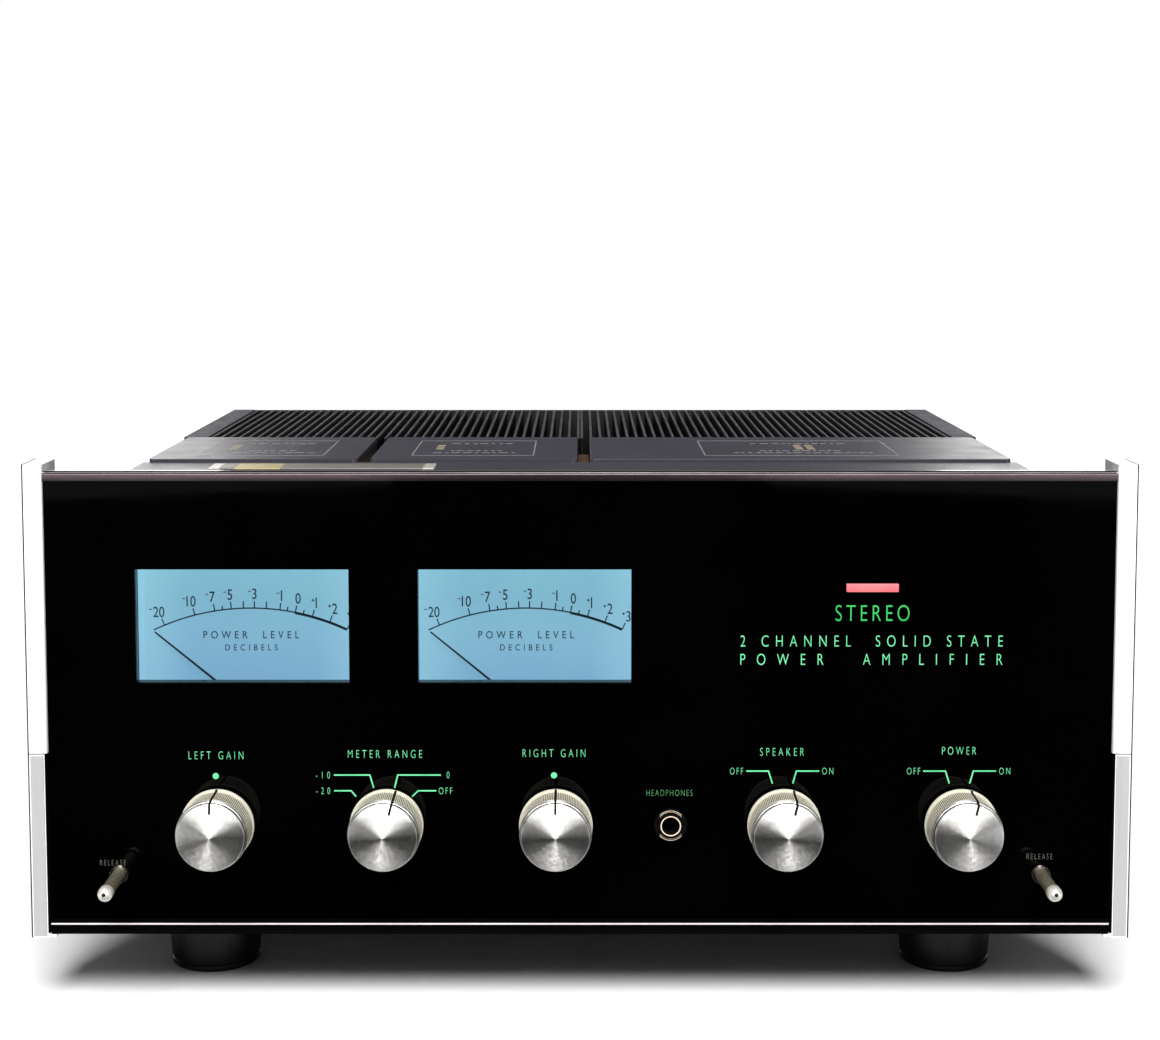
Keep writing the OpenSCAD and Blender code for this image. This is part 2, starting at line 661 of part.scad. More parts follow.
module fuse_holder() seat() color([0.08, 0.08, 0.08]) difference() {
    union() {
        rod(fuse_x, fuse_z, chassis_y1, chassis_y1 + 4, 9);
        rod(fuse_x, fuse_z, rear_y - 34, chassis_y1 + 1, 6.5);
    }
    rod(fuse_x, fuse_z, rear_y - 32, chassis_y1 + 5, 5.2);
}

// Bayonet cap with the fuse clip on its stem
module fuse_cap() seat() color([0.1, 0.1, 0.1]) {
    difference() {
        rod(fuse_x, fuse_z, chassis_y1 + 4.2, chassis_y1 + rear_out, 7.5);
        block([fuse_x - 8, chassis_y1 + rear_out - 2, fuse_z - 0.8],
            [fuse_x + 8, chassis_y1 + rear_out + 1, fuse_z + 0.8]);
        for (a = [0:30:330]) rod(fuse_x + 7.9 * cos(a), fuse_z + 7.9 * sin(a),
            chassis_y1 + 8, chassis_y1 + rear_out + 1, 0.9);
    }
    rod(fuse_x, fuse_z, rear_y - 30, chassis_y1 + 5, 5.1);
}

// Two-slot mains outlets, held by their flanges
module ac_outlets() seat() color([0.07, 0.06, 0.06]) for (x = outlet_xs) difference() {
    union() {
        plate(chassis_y1, 3) translate([x, outlet_z]) round_rect(40, 32, 4);
        plate(rear_y - 16, 18) translate([x, outlet_z]) round_rect(29, 23, 3);
    }
    for (dx = [-6.4, 6.4]) block([x + dx - 0.9, rear_y - 12, outlet_z - 3.6],
        [x + dx + 0.9, chassis_y1 + 4, outlet_z + 3.6]);
}

// Bush that the mains cord would leave through
module cord_gland() seat() color([0.06, 0.06, 0.06]) difference() {
    union() {
        rod(gland_x, gland_z, rear_y - 5, chassis_y1 + 1, 7);
        rod(gland_x, gland_z, chassis_y1, chassis_y1 + 4, 10);
        rod(gland_x, gland_z, chassis_y1 + 3, chassis_y1 + 13, 7);
    }
    rod(gland_x, gland_z, rear_y - 6, chassis_y1 + 14, cord_r);
}

// Slide of the mode switch, held behind the rear panel, at the stereo end of its slot
module mode_switch() seat() color([0.9, 0.9, 0.88]) {
    slide_x = mode_x - 3;
    block([slide_x - 2.8, rear_y - 0.6, mode_z - 2.4], [slide_x + 2.8, chassis_y1 + 3.5, mode_z + 2.4]);
    block([slide_x - 10, rear_y - 2, mode_z - 4.5], [slide_x + 10, rear_y - 0.2, mode_z + 4.5]);
}

// Round feet with a lip at the floor and a well for the screw
module feet() seat() color([0.04, 0.04, 0.045]) for (x = [-foot_x, foot_x], y = foot_ys)
    translate([x, y, 0]) rotate_extrude($fn = 96) polygon([
        [9, 0], [foot_d / 2 - 2.4, 0], [foot_d / 2 - 1.7, 0.7], [foot_d / 2 - 1.6, 2.3],
        [foot_d / 2 - 2.1, 2.5], [foot_d / 2 - 2.1, 2.9], [foot_d / 2 - 1.7, 3.1],
        [foot_d / 2, foot_h - 1.5], [foot_d / 2 - 0.6, foot_h],
        [2.7, foot_h], [2.7, 12], [9, 12]]);

module chassis_screws() seat() color([0.55, 0.55, 0.56]) {
    for (x = [-foot_x, foot_x], y = foot_ys)
        translate([x, y, 12]) mirror([0, 0, 1]) screw(4.6, 3, 2.5, 24);
    for (side = [-1, 1], p = side_screws) translate([side * wall_x, p[0], p[1]])
        rotate([0, side * 90, 0]) screw(3.1, 2, 1.5, 6);
    for (p = rear_screws) translate([p[0], chassis_y1, p[1]]) rotate([-90, 0, 0]) screw(3.1, 2, 1.5, 6);
}

front_glass();
light_box();
top_trim();
bottom_trim();
end_cap_left();
end_cap_right();
front_subpanel();
meter_cases();
meter_dials();
panel_lamps();
pilot_lens();
gain_pots();
rotary_switches();
bush_nuts();
headphone_jack();
pin_guides();
side_wall_left();
side_wall_right();
bottom_cover();
rear_panel();
top_deck();
label_plate();
can_left();
can_middle();
can_right();
transformer_cores();
transformer_windings();
heat_sink_left();
heat_sink_right();
output_transistors();
circuit_boards();
filter_capacitors();
input_jacks();
speaker_strips();
terminal_screws();
fuse_holder();
ac_outlets();
cord_gland();
feet();
chassis_screws();
knob_left_gain();
knob_meter_range();
knob_right_gain();
knob_speaker();
knob_power();
shaft_left_gain();
shaft_meter_range();
shaft_right_gain();
shaft_speaker();
shaft_power();
pointer_left();
pointer_right();
release_pin_left();
release_pin_right();
release_spring_left();
release_spring_right();
latch_left();
latch_right();
fuse_cap();
mode_switch();
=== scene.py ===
import json
import math
import random

import bmesh
import bpy
from mathutils import Matrix, Vector

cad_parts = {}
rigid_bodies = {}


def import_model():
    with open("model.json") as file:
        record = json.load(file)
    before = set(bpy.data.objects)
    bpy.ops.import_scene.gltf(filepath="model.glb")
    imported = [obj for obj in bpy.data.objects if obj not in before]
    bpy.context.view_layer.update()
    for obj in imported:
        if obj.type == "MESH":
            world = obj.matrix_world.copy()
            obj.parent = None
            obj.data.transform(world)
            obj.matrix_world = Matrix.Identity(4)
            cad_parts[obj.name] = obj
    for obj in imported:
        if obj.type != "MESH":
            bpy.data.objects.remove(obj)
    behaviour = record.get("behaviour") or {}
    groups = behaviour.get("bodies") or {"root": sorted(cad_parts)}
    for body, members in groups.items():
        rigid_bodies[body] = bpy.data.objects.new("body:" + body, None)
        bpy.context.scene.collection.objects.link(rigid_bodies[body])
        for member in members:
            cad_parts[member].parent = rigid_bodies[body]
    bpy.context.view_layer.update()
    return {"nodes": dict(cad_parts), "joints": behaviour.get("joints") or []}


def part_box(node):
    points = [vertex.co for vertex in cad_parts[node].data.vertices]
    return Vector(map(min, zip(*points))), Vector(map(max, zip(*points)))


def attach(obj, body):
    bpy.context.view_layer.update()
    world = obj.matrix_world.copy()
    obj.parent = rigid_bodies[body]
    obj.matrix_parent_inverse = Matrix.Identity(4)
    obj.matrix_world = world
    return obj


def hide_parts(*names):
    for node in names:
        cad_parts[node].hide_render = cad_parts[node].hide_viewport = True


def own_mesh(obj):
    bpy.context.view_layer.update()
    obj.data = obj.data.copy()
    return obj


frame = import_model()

MM = 0.001
random.seed(11)

# -------------------- places, from the frame
GLASS_LOW, GLASS_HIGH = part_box("front_glass")
FRONT = GLASS_LOW.y
CAN_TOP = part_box("can_left")[1].z
WALL_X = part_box("top_deck")[1].x
KNOBS = ("left_gain", "meter_range", "right_gain", "speaker", "power")
METERS = ("left", "right")
SIDES = {"left": -1, "right": 1}


def joint(name):
    """The record's joint of that name."""
    return next(j for j in frame["joints"] if j["name"] == name)


def axis_of(name):
    """A point on a hinge joint's axis, in metres."""
    return Vector(joint(name)["pos_m"])


KNOB_AXES = {k: axis_of(k + "_turn") for k in KNOBS}
METER_AXES = {m: axis_of(f"meter_{m}_swing") for m in METERS}
DETENT = math.radians(15)
JACK = (33.8, 70.1)
KNOB_REST = {"left_gain": 0, "meter_range": DETENT, "right_gain": 0, "speaker": DETENT,
             "power": DETENT}


# -------------------- materials
class Finish:
    """A material with a Principled shader, and short calls that add what its surface needs."""

    def __init__(self, name, colour, roughness=0.5, metallic=0.0, specular=0.5, **sockets):
        self.material = bpy.data.materials.new(name)
        self.material.use_nodes = True
        self.tree = self.material.node_tree
        self.shader = self.tree.nodes["Principled BSDF"]
        self.set("Base Color", (*colour, 1))
        self.set("Roughness", roughness)
        self.set("Metallic", metallic)
        self.set("Specular IOR Level", specular)
        for socket, value in sockets.items():
            self.set(socket.replace("_", " "), value)
        self.place = self.node("ShaderNodeTexCoord").outputs["Object"]

    def set(self, socket, value):
        self.shader.inputs[socket].default_value = value

    def node(self, kind, inputs=(), **settings):
        """A new node, with its settings made and its inputs given as values or links."""
        made = self.tree.nodes.new(kind)
        for key, value in settings.items():
            setattr(made, key, value)
        for key, value in dict(inputs).items():
            if isinstance(value, bpy.types.NodeSocket):
                self.tree.links.new(value, made.inputs[key])
            else:
                made.inputs[key].default_value = value
        return made

    def join(self, output, socket):
        self.tree.links.new(output, self.shader.inputs[socket])

    def noise(self, scale, detail=3.0, stretch=None):
        """Noise over the surface, with scale in features per metre, stretched where the grain
        runs one way."""
        place = self.place
        if stretch:
            place = self.node("ShaderNodeMapping", {"Vector": place, "Scale": stretch}).outputs[0]
        settings = {"Vector": place, "Scale": scale, "Detail": detail, "Roughness": 0.55}
        return self.node("ShaderNodeTexNoise", settings).outputs["Fac"]

    def between(self, value, low, high, out_low, out_high):
        """A value from low..high, spread over out_low..out_high."""
        limits = {0: value, 1: low, 2: high, 3: out_low, 4: out_high}
        return self.node("ShaderNodeMapRange", limits).outputs[0]

    def blend(self, share, first, second):
        """Two colours, mixed by a value."""
        mix = self.node("ShaderNodeMix", data_type="RGBA")
        self.tree.links.new(share, mix.inputs[0])
        for slot, colour in ((6, first), (7, second)):
            if isinstance(colour, bpy.types.NodeSocket):
                self.tree.links.new(colour, mix.inputs[slot])
            else:
                mix.inputs[slot].default_value = (*colour, 1)
        return mix.outputs[2]

    def math(self, operation, a, b=0.0):
        return self.node("ShaderNodeMath", {0: a, 1: b}, operation=operation).outputs[0]

    def along(self, axis):
        """One object coordinate, in metres."""
        return self.node("ShaderNodeSeparateXYZ", {0: self.place}).outputs[axis]

    def apart(self, a, b):
        """How far two values are apart."""
        return self.math("ABSOLUTE", self.math("SUBTRACT", a, b))

    # Masks, which are 1 where they hold and 0 elsewhere
    def below(self, value, limit):
        return self.math("LESS_THAN", value, limit)

    def above(self, value, limit):
        return self.math("GREATER_THAN", value, limit)

    def both(self, a, b):
        return self.math("MULTIPLY", a, b)

    def either(self, a, b):
        return self.math("MAXIMUM", a, b)

    def band(self, axis, low, high):
        """A mask between two places along an axis."""
        value = self.along(axis)
        return self.both(self.above(value, low), self.below(value, high))

    def off_axis(self, x, z):
        """How far a place is from a line along Y: to its side, and in all."""
        across = self.math("SUBTRACT", self.along(0), x)
        up = self.math("SUBTRACT", self.along(2), z)
        squares = [self.math("MULTIPLY", side, side) for side in (across, up)]
        return across, self.math("SQRT", self.math("ADD", *squares))

    def wander(self, low, high, scale, detail=3.0, stretch=None, spread=0.2):
        """A value that wanders between low and high over the surface."""
        noise = self.noise(scale, detail, stretch)
        return self.between(noise, 0.5 - spread, 0.5 + spread, low, high)

    def mottle(self, first, second, scale, detail=3.0, stretch=None):
        """Base colour that drifts between two colours."""
        share = self.wander(0, 1, scale, detail, stretch, 0.15)
        colour = self.blend(share, first, second)
        self.paint(colour)
        return colour

    def uneven(self, low, high, scale, detail=3.0, stretch=None):
        """Roughness that drifts between two values."""
        self.join(self.wander(low, high, scale, detail, stretch), "Roughness")

    def paint(self, colour):
        self.join(colour, "Base Color")

    def gloss(self, mask, outside, inside):
        """Specular level outside and inside a mask."""
        self.join(self.between(mask, 0, 1, outside, inside), "Specular IOR Level")

    def bump(self, height, distance, strength=1.0):
        """Relief from a height between 0 and 1, distance metres deep."""
        inputs = {"Height": height, "Distance": distance, "Strength": strength}
        self.join(self.node("ShaderNodeBump", inputs).outputs[0], "Normal")

    def glow(self, colour, strength=1.0):
        """Light of its own, from a colour or a colour output."""
        if isinstance(colour, bpy.types.NodeSocket):
            self.join(colour, "Emission Color")
        else:
            self.set("Emission Color", (*colour, 1))
        self.set("Emission Strength", strength)


BLUE_GREY = (0.049, 0.048, 0.061), (0.057, 0.055, 0.069)
BLACK_PAINT = (0.014, 0.014, 0.015), (0.018, 0.018, 0.019)
SEAM_BLACK = (0.006, 0.006, 0.007)


def enamel(name, first, second, seam_x, roughness=0.34):
    """Stoved enamel on sheet metal: faint mottling, orange peel, uneven gloss, and a black seam
    along the chassis's outer edges."""
    m = Finish(name, first, roughness, specular=0.4)
    colour = m.mottle(first, second, 22, 5)
    seam = m.above(m.math("ABSOLUTE", m.along(0)), seam_x - 0.9 * MM)
    m.paint(m.blend(seam, colour, SEAM_BLACK))
    m.uneven(roughness - 0.03, roughness + 0.05, 60, 4)
    peel = m.math("MULTIPLY", m.noise(900, 2), 0.7)
    grit = m.math("MULTIPLY", m.noise(5200, 1), 0.3)
    m.bump(m.math("ADD", peel, grit), 0.03 * MM, 0.35)
    return m.material


def plated(name, colour, roughness=0.24):
    """Bright plated steel with faint clouding and pits."""
    m = Finish(name, colour, roughness, 1.0)
    m.mottle(tuple(0.82 * c for c in colour), colour, 260, 4)
    m.uneven(roughness * 0.75, roughness * 1.5, 500, 4)
    m.bump(m.noise(3500, 2), 0.006 * MM, 0.3)
    return m.material


def pin_metal(side):
    """Dull warm nickel rod with a bright ball end that has a black dimple."""
    m = Finish("pin_metal_" + side, (0.5, 0.47, 0.4), 0.3, 0.45)
    low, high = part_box("release_pin_" + side)
    scuffs = m.noise(420, 5, (1, 0.3, 1))
    rod = m.blend(scuffs, (0.1, 0.09, 0.06), (0.3, 0.28, 0.2))
    ball = m.blend(scuffs, (0.6, 0.58, 0.52), (0.9, 0.88, 0.82))
    front = m.below(m.along(1), low.y + 4.6 * MM)
    reach = m.off_axis((low.x + high.x) / 2, (low.z + high.z) / 2 + 0.5 * MM)[1]
    dimple = m.both(front, m.below(reach, 0.75 * MM))
    m.paint(m.blend(dimple, m.blend(front, rod, ball), (0.003, 0.003, 0.003)))
    m.uneven(0.22, 0.42, 600, 4)
    m.bump(m.noise(2600, 2), 0.01 * MM, 0.35)
    return m.material


def jack_metal():
    """Blackened nut with a bright ring round the opening, and thin arcs on its rim, only above and
    below the opening, painted bright as highlights.
    """
    m = Finish("jack_metal", (0.004, 0.004, 0.004), 0.4)
    across, reach = m.off_axis(JACK[0] * MM, JACK[1] * MM)

    def near(radius, width):
        return m.below(m.apart(reach, radius * MM), width * MM)

    front = m.below(m.along(1), FRONT + 0.1 * MM)
    bright = m.blend(m.noise(500, 4), (0.7, 0.52, 0.36), (1.0, 0.86, 0.7))
    # Painted highlights: thin bright arcs on the rim, only above and below the opening.
    steep = m.below(m.math("ABSOLUTE", across), 4 * MM)
    arcs = m.both(steep, m.either(near(5.6, 0.1), near(5.1, 0.06)))
    lines = m.both(front, m.either(near(3.6, 0.2), arcs))
    dark = m.blend(m.noise(300, 3), (0.002, 0.002, 0.002), (0.006, 0.006, 0.006))
    m.paint(m.blend(lines, dark, bright))
    m.gloss(lines, 0, 0.5)
    m.uneven(0.3, 0.5, 500, 4)
    return m.material


def moulded(name, first, second, roughness=0.42, grain=2600, depth=0.02, **sockets):
    """Moulded plastic with a fine spark-eroded grain."""
    m = Finish(name, first, roughness, **sockets)
    m.mottle(first, second, 90, 4)
    m.uneven(roughness - 0.06, roughness + 0.1, 320, 4)
    m.bump(m.noise(grain, 2), depth * MM, 0.35)
    return m.material


def black_glass():
    """Plate glass, painted black behind: deep black, with a very faint haze in its polish."""
    m = Finish("black_glass", (0.0003, 0.0003, 0.0004), 0.035, specular=0.05)
    m.mottle((0.0002, 0.0002, 0.0003), (0.0005, 0.0005, 0.0006), 9, 3)
    m.uneven(0.02, 0.06, 35, 5)
    m.bump(m.noise(14, 1), 0.02 * MM, 0.12)
    return m.material


def clear_glass():
    """The clear stretch of the glass over a meter: see-through, with the glass's own gloss."""
    m = Finish("clear_glass", (0.01, 0.012, 0.013), 0.03)
    m.uneven(0.02, 0.06, 60, 4)
    clear = m.node("ShaderNodeBsdfTransparent", {0: (0.97, 0.985, 0.99, 1)})
    share = m.node("ShaderNodeMixShader", {0: 0.07, 1: clear.outputs[0], 2: m.shader.outputs[0]})
    output = m.tree.nodes["Material Output"]
    m.tree.links.new(share.outputs[0], output.inputs["Surface"])
    return m.material


def trim_metal():
    """Rosy anodised face under a thin polished edge. The face is painted darker towards its bottom
    as painted shade, and the groove and the flat top in front of it are painted black as painted
    shade.
    """
    m = Finish("trim_metal", (0.3, 0.23, 0.24), 0.24, 0.85)
    low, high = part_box("top_trim")
    lines = m.noise(900, 4, (0.02, 1, 1))
    # Painted shade: the face is darker towards its bottom.
    rise = m.between(m.along(2), low.z, low.z + 2.6 * MM, 0, 1)
    drift = m.math("ADD", rise, m.between(lines, 0.35, 0.65, -0.12, 0.12))
    upright = m.blend(drift, (0.05, 0.036, 0.04), (0.18, 0.135, 0.145))
    slope = m.above(m.along(2), high.z - 0.78 * MM)
    face = m.blend(slope, upright, (0.045, 0.034, 0.037))
    edge = m.above(m.along(2), high.z - 0.42 * MM)
    polished = m.blend(lines, (0.75, 0.68, 0.68), (0.92, 0.88, 0.88))
    # Painted shade: the groove and the flat top in front of it are black, with no metal or gloss.
    flat = m.above(m.along(2), high.z - 0.05 * MM)
    dark = m.both(flat, m.below(m.along(1), FRONT + 3.25 * MM))
    groove = m.either(dark, m.band(1, FRONT + 1.3 * MM, FRONT + 3.25 * MM))
    m.paint(m.blend(edge, face, m.blend(groove, polished, (0.02, 0.013, 0.015))))
    m.join(m.between(groove, 0, 1, 0.85, 0), "Metallic")
    m.gloss(groove, 0.5, 0)
    m.uneven(0.1, 0.18, 700, 3, (0.05, 1, 1))
    m.bump(m.noise(2400, 2, (0.02, 1, 1)), 0.004 * MM, 0.4)
    return m.material


def bottom_trim_metal():
    """A thin band along the top painted bright as a painted highlight, over a face painted black as
    a painted dark reflection.
    """
    m = Finish("bottom_trim_metal", (0.9, 0.88, 0.88), 0.3, 0.1)
    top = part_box("bottom_trim")[1].z
    # Painted highlight: a thin bright band along the top; the rest is black, a painted dark
    # reflection.
    highlight_band = m.band(2, top - 1.85 * MM, top - 1.1 * MM)
    lines = m.wander(0, 1, 900, 3, (0.02, 1, 1), 0.15)
    bright = m.blend(lines, (0.72, 0.63, 0.63), (0.92, 0.88, 0.88))
    m.paint(m.blend(highlight_band, (0.002, 0.002, 0.002), bright))
    m.gloss(highlight_band, 0, 0.5)
    m.uneven(0.26, 0.4, 700, 3, (0.05, 1, 1))
    m.bump(m.noise(2400, 2, (0.02, 1, 1)), 0.004 * MM, 0.4)
    return m.material


def cap_metal():
    """Polished aluminium with its reflections painted in: near-white over most of the front, a grey
    patch in a white border low down, and black along the outer sides, in a strip on the inner side
    low down and in a line above that strip."""
    m = Finish("cap_metal", (0.93, 0.94, 0.95), 0.34, 0.1)
    low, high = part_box("end_cap_right")
    reflection_edge_x, reflection_edge_z = high.x - 6.5 * MM, low.z + 70 * MM
    grain = m.wander(0, 1, 300, 4, (1, 1, 0.02))
    white = m.blend(grain, (0.95, 0.95, 0.95), (0.99, 0.99, 0.99))
    grey = m.blend(grain, (0.46, 0.46, 0.465), (0.52, 0.52, 0.525))
    reach = m.math("ABSOLUTE", m.along(0))
    # Painted reflection: a grey patch in a white border low down on the front.
    middle = m.below(m.apart(reach, reflection_edge_x + 2.9 * MM), 2.4 * MM)
    painted_grey_reflection = m.both(middle, m.band(2, low.z + 0.6 * MM, reflection_edge_z - 0.6 * MM))
    # Painted dark reflection: black outer sides, a black strip on the inner side low down, and a
    # black line above it.
    side = m.above(reach, high.x - 0.75 * MM)
    inner = m.both(m.below(reach, reflection_edge_x), m.band(2, low.z + 1.8 * MM, reflection_edge_z))
    seam = m.band(2, reflection_edge_z, reflection_edge_z + 0.35 * MM)
    black = m.either(m.either(side, inner), seam)
    m.paint(m.blend(black, m.blend(painted_grey_reflection, white, grey), (0.002, 0.002, 0.002)))
    m.gloss(black, 0.5, 0)
    m.uneven(0.26, 0.4, 900, 3, (1, 1, 0.03))
    m.bump(m.noise(2400, 2, (1, 1, 0.02)), 0.003 * MM, 0.35)
    return m.material


def fin_metal():
    """Black anodised fins with their tops painted lighter, unevenly, as a painted highlight, and a
    grey enamelled flange.
    """
    m = Finish("fin_metal", (0.012, 0.012, 0.014), 0.55, specular=0.15)
    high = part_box("heat_sink_right")[1]
    reach = m.math("ABSOLUTE", m.along(0))
    # Painted highlight: the top 0.6 mm of the fins is lighter, unevenly.
    top = m.above(m.along(2), high.z - 0.6 * MM)
    uneven_highlight = m.wander(0.35, 1, 240, 4, (1, 0.15, 1))
    flange = m.above(reach, high.x - 11.05 * MM)
    seam = m.above(reach, high.x - 0.9 * MM)
    dark = m.blend(m.noise(120, 4), (0.004, 0.004, 0.005), (0.011, 0.011, 0.013))
    edge = m.blend(m.both(top, uneven_highlight), dark, (0.085, 0.082, 0.095))
    panel = m.blend(m.wander(0, 1, 40, 4, spread=0.15), *BLUE_GREY)
    m.paint(m.blend(seam, m.blend(flange, edge, panel), SEAM_BLACK))
    m.uneven(0.45, 0.62, 200, 4)
    m.bump(m.noise(1800, 2, (1, 0.05, 1)), 0.008 * MM, 0.3)
    return m.material


def spun_metal():
    """The lathe-turned face of a knob, whose fine rings stretch the highlights into fans."""
    m = Finish("spun_metal", (0.86, 0.85, 0.83), 0.39, 1.0, Anisotropic=0.9,
               Anisotropic_Rotation=0.25)
    m.join(m.node("ShaderNodeTangent", direction_type="RADIAL", axis="Y").outputs[0], "Tangent")
    m.mottle((0.78, 0.77, 0.75), (0.93, 0.92, 0.9), 700, 5)
    m.uneven(0.3, 0.4, 900, 4)
    return m.material


def fluted_metal(name, first, second):
    """The warm grey anodised skirt of a knob; a much darker copy paints shade into the flute
    valleys.
    """
    m = Finish(name, first, 0.4, 0.2)
    m.mottle(first, second, 1400, 5)
    m.uneven(0.32, 0.5, 1100, 4)
    m.bump(m.noise(5200, 2), 0.01 * MM, 0.4)
    return m.material


def dial_card():
    """Back-lit pale blue dial, greener towards its top and lighter towards both sides."""
    m = Finish("dial_card", (0.04, 0.06, 0.08), 0.6)
    low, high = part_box("meter_dials")
    height = m.between(m.along(2), low.z + 14 * MM, high.z - 3 * MM, 0, 1)
    drift = m.wander(-0.16, 0.16, 26)
    colour = m.blend(m.math("ADD", height, drift), (0.175, 0.375, 0.555), (0.225, 0.495, 0.615))
    middle = (METER_AXES["left"].x + METER_AXES["right"].x) / 2
    half_gap = (METER_AXES["right"].x - METER_AXES["left"].x) / 2
    off_centre = m.apart(m.apart(m.along(0), middle), half_gap)
    pale = m.between(off_centre, 24 * MM, 40 * MM, 0, 0.4)
    colour = m.blend(pale, colour, (0.36, 0.66, 0.78))
    grain = m.wander(0, 0.1, 1500)
    m.glow(m.blend(grain, colour, (0.12, 0.3, 0.42)), 1.14)
    return m.material


def lit_print(name, colour, dim, strength=1.0):
    """Translucent lettering lit from behind, a little uneven."""
    m = Finish(name, tuple(0.3 * c for c in colour), 0.4)
    share = m.wander(0, 1, 170)
    m.glow(m.blend(share, dim, colour), strength)
    return m.material


def flat_print(name, colour, second):
    """Screen-printed ink, slightly broken."""
    m = Finish(name, colour, 0.5)
    m.mottle(colour, second, 1600, 5)
    m.uneven(0.4, 0.6, 900)
    return m.material


def pilot_red():
    """Red lens lit from behind, brighter towards its top."""
    m = Finish("pilot_red", (0.5, 0.06, 0.07), 0.25)
    low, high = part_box("pilot_lens")
    rise = m.between(m.along(2), low.z + 1.4 * MM, high.z - 1.4 * MM, 0, 1)
    drift = m.math("ADD", rise, m.wander(-0.2, 0.2, 260))
    m.glow(m.blend(drift, (0.6, 0.13, 0.14), (0.8, 0.27, 0.29)), 0.95)
    return m.material


def label_metal():
    """Thin plate with silver ends and a gold field, as on the deck."""
    m = Finish("label_metal", (0.8, 0.78, 0.7), 0.35, 0.5)
    low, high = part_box("label_plate")
    gold = m.band(0, low.x + 11 * MM, low.x + 30 * MM)
    end = 4.6 * MM
    ends = m.either(m.band(0, low.x - MM, low.x + end), m.band(0, high.x - end, high.x + MM))
    field = m.blend(gold, (0.34, 0.33, 0.29), (0.75, 0.62, 0.33))
    colour = m.blend(ends, field, (0.85, 0.83, 0.76))
    tarnish = m.between(m.noise(700, 4), 0.4, 0.8, 0, 0.4)
    m.paint(m.blend(tarnish, colour, (0.2, 0.19, 0.17)))
    m.uneven(0.28, 0.45, 400, 4)
    m.bump(m.noise(2600, 2, (0.1, 1, 1)), 0.01 * MM, 0.3)
    return m.material


FINISHES = {
    "glass": black_glass(),
    "clear": clear_glass(),
    "trim": trim_metal(),
    "bottom_trim": bottom_trim_metal(),
    "cap": cap_metal(),
    "enamel": enamel("blue_grey_enamel", *BLUE_GREY, WALL_X),
    "can_enamel": enamel("can_enamel", *BLUE_GREY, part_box("can_right")[1].x),
    "black_enamel": enamel("black_enamel", *BLACK_PAINT, WALL_X, 0.45),
    "fins": fin_metal(),
    "spun": spun_metal(),
    "fluted": fluted_metal("fluted_metal", (0.8, 0.76, 0.61), (1.0, 0.95, 0.8)),
    # Painted shade for the flute valleys: a dark copy of the skirt's finish.
    "flute_valley": fluted_metal("flute_valley", (0.1, 0.09, 0.055), (0.2, 0.185, 0.125)),
    # Black for the pointer lines, and painted shade in the waist under each knob's rim.
    "groove": moulded("groove_black", (0.003, 0.003, 0.003), (0.008, 0.006, 0.005), 0.7,
                      specular=0.1),
    "dial": dial_card(),
    "needle": moulded("needle_paint", (0.006, 0.012, 0.02), (0.012, 0.022, 0.035), 0.5),
    "navy": flat_print("navy_ink", (0.012, 0.04, 0.075), (0.03, 0.075, 0.12)),
    "green": lit_print("green_print", (0.2, 0.86, 0.42), (0.06, 0.52, 0.2)),
    "mark_green": lit_print("mark_green_print", (0.045, 0.62, 0.13), (0.02, 0.36, 0.08)),
    "dim_green": lit_print("dim_green_print", (0.1, 0.36, 0.13), (0.02, 0.1, 0.035)),
    "grey_ink": flat_print("grey_ink", (0.16, 0.15, 0.125), (0.07, 0.065, 0.055)),
    "pale_ink": flat_print("pale_ink", (0.34, 0.33, 0.34), (0.2, 0.195, 0.21)),
    "gold_ink": flat_print("gold_ink", (0.42, 0.35, 0.24), (0.24, 0.2, 0.14)),
    "white_ink": flat_print("white_ink", (0.62, 0.62, 0.6), (0.45, 0.45, 0.44)),
    "pilot": pilot_red(),
    "nickel": plated("nickel", (0.72, 0.68, 0.6)),
    "pin_left": pin_metal("left"),
    "pin_right": pin_metal("right"),
    "jack": jack_metal(),
    "guide": plated("guide_metal", (0.3, 0.28, 0.25), 0.2),
    "steel": plated("screw_steel", (0.33, 0.33, 0.34), 0.34),
    "zinc": plated("zinc", (0.6, 0.6, 0.58), 0.36),
    "spring": plated("spring_wire", (0.5, 0.5, 0.52), 0.3),
    "foot": moulded("foot_plastic", (0.003, 0.003, 0.0035), (0.006, 0.006, 0.007), 0.36, 1900, 0.03,
                    specular=0.2),
    "tray": moulded("black_tray", (0.012, 0.012, 0.012), (0.02, 0.02, 0.02), 0.6),
    "phenolic": moulded("phenolic", (0.012, 0.01, 0.009), (0.024, 0.019, 0.016), 0.4, 3200, 0.02),
    "wafer": moulded("wafer", (0.33, 0.17, 0.06), (0.42, 0.24, 0.1), 0.5),
    "board": moulded("board", (0.28, 0.18, 0.05), (0.36, 0.25, 0.09), 0.5),
    "sleeve": moulded("capacitor_sleeve", (0.03, 0.08, 0.24), (0.05, 0.11, 0.3), 0.3),
    "lamp": lit_print("lamp_glass", (1.0, 0.9, 0.65), (0.8, 0.7, 0.5), 0.8),
    "core": moulded("laminations", (0.05, 0.045, 0.042), (0.09, 0.08, 0.07), 0.5),
    "copper": moulded("winding", (0.45, 0.2, 0.08), (0.3, 0.12, 0.05), 0.4),
    "slide": moulded("slide_plastic", (0.7, 0.69, 0.66), (0.78, 0.77, 0.74), 0.4),
    # Dark brown, partly painted shade in the gaps between the cans.
    "fibre": moulded("brown_fibre", (0.055, 0.028, 0.018), (0.1, 0.05, 0.03), 0.6, 1500, 0.05),
    "label": label_metal(),
}

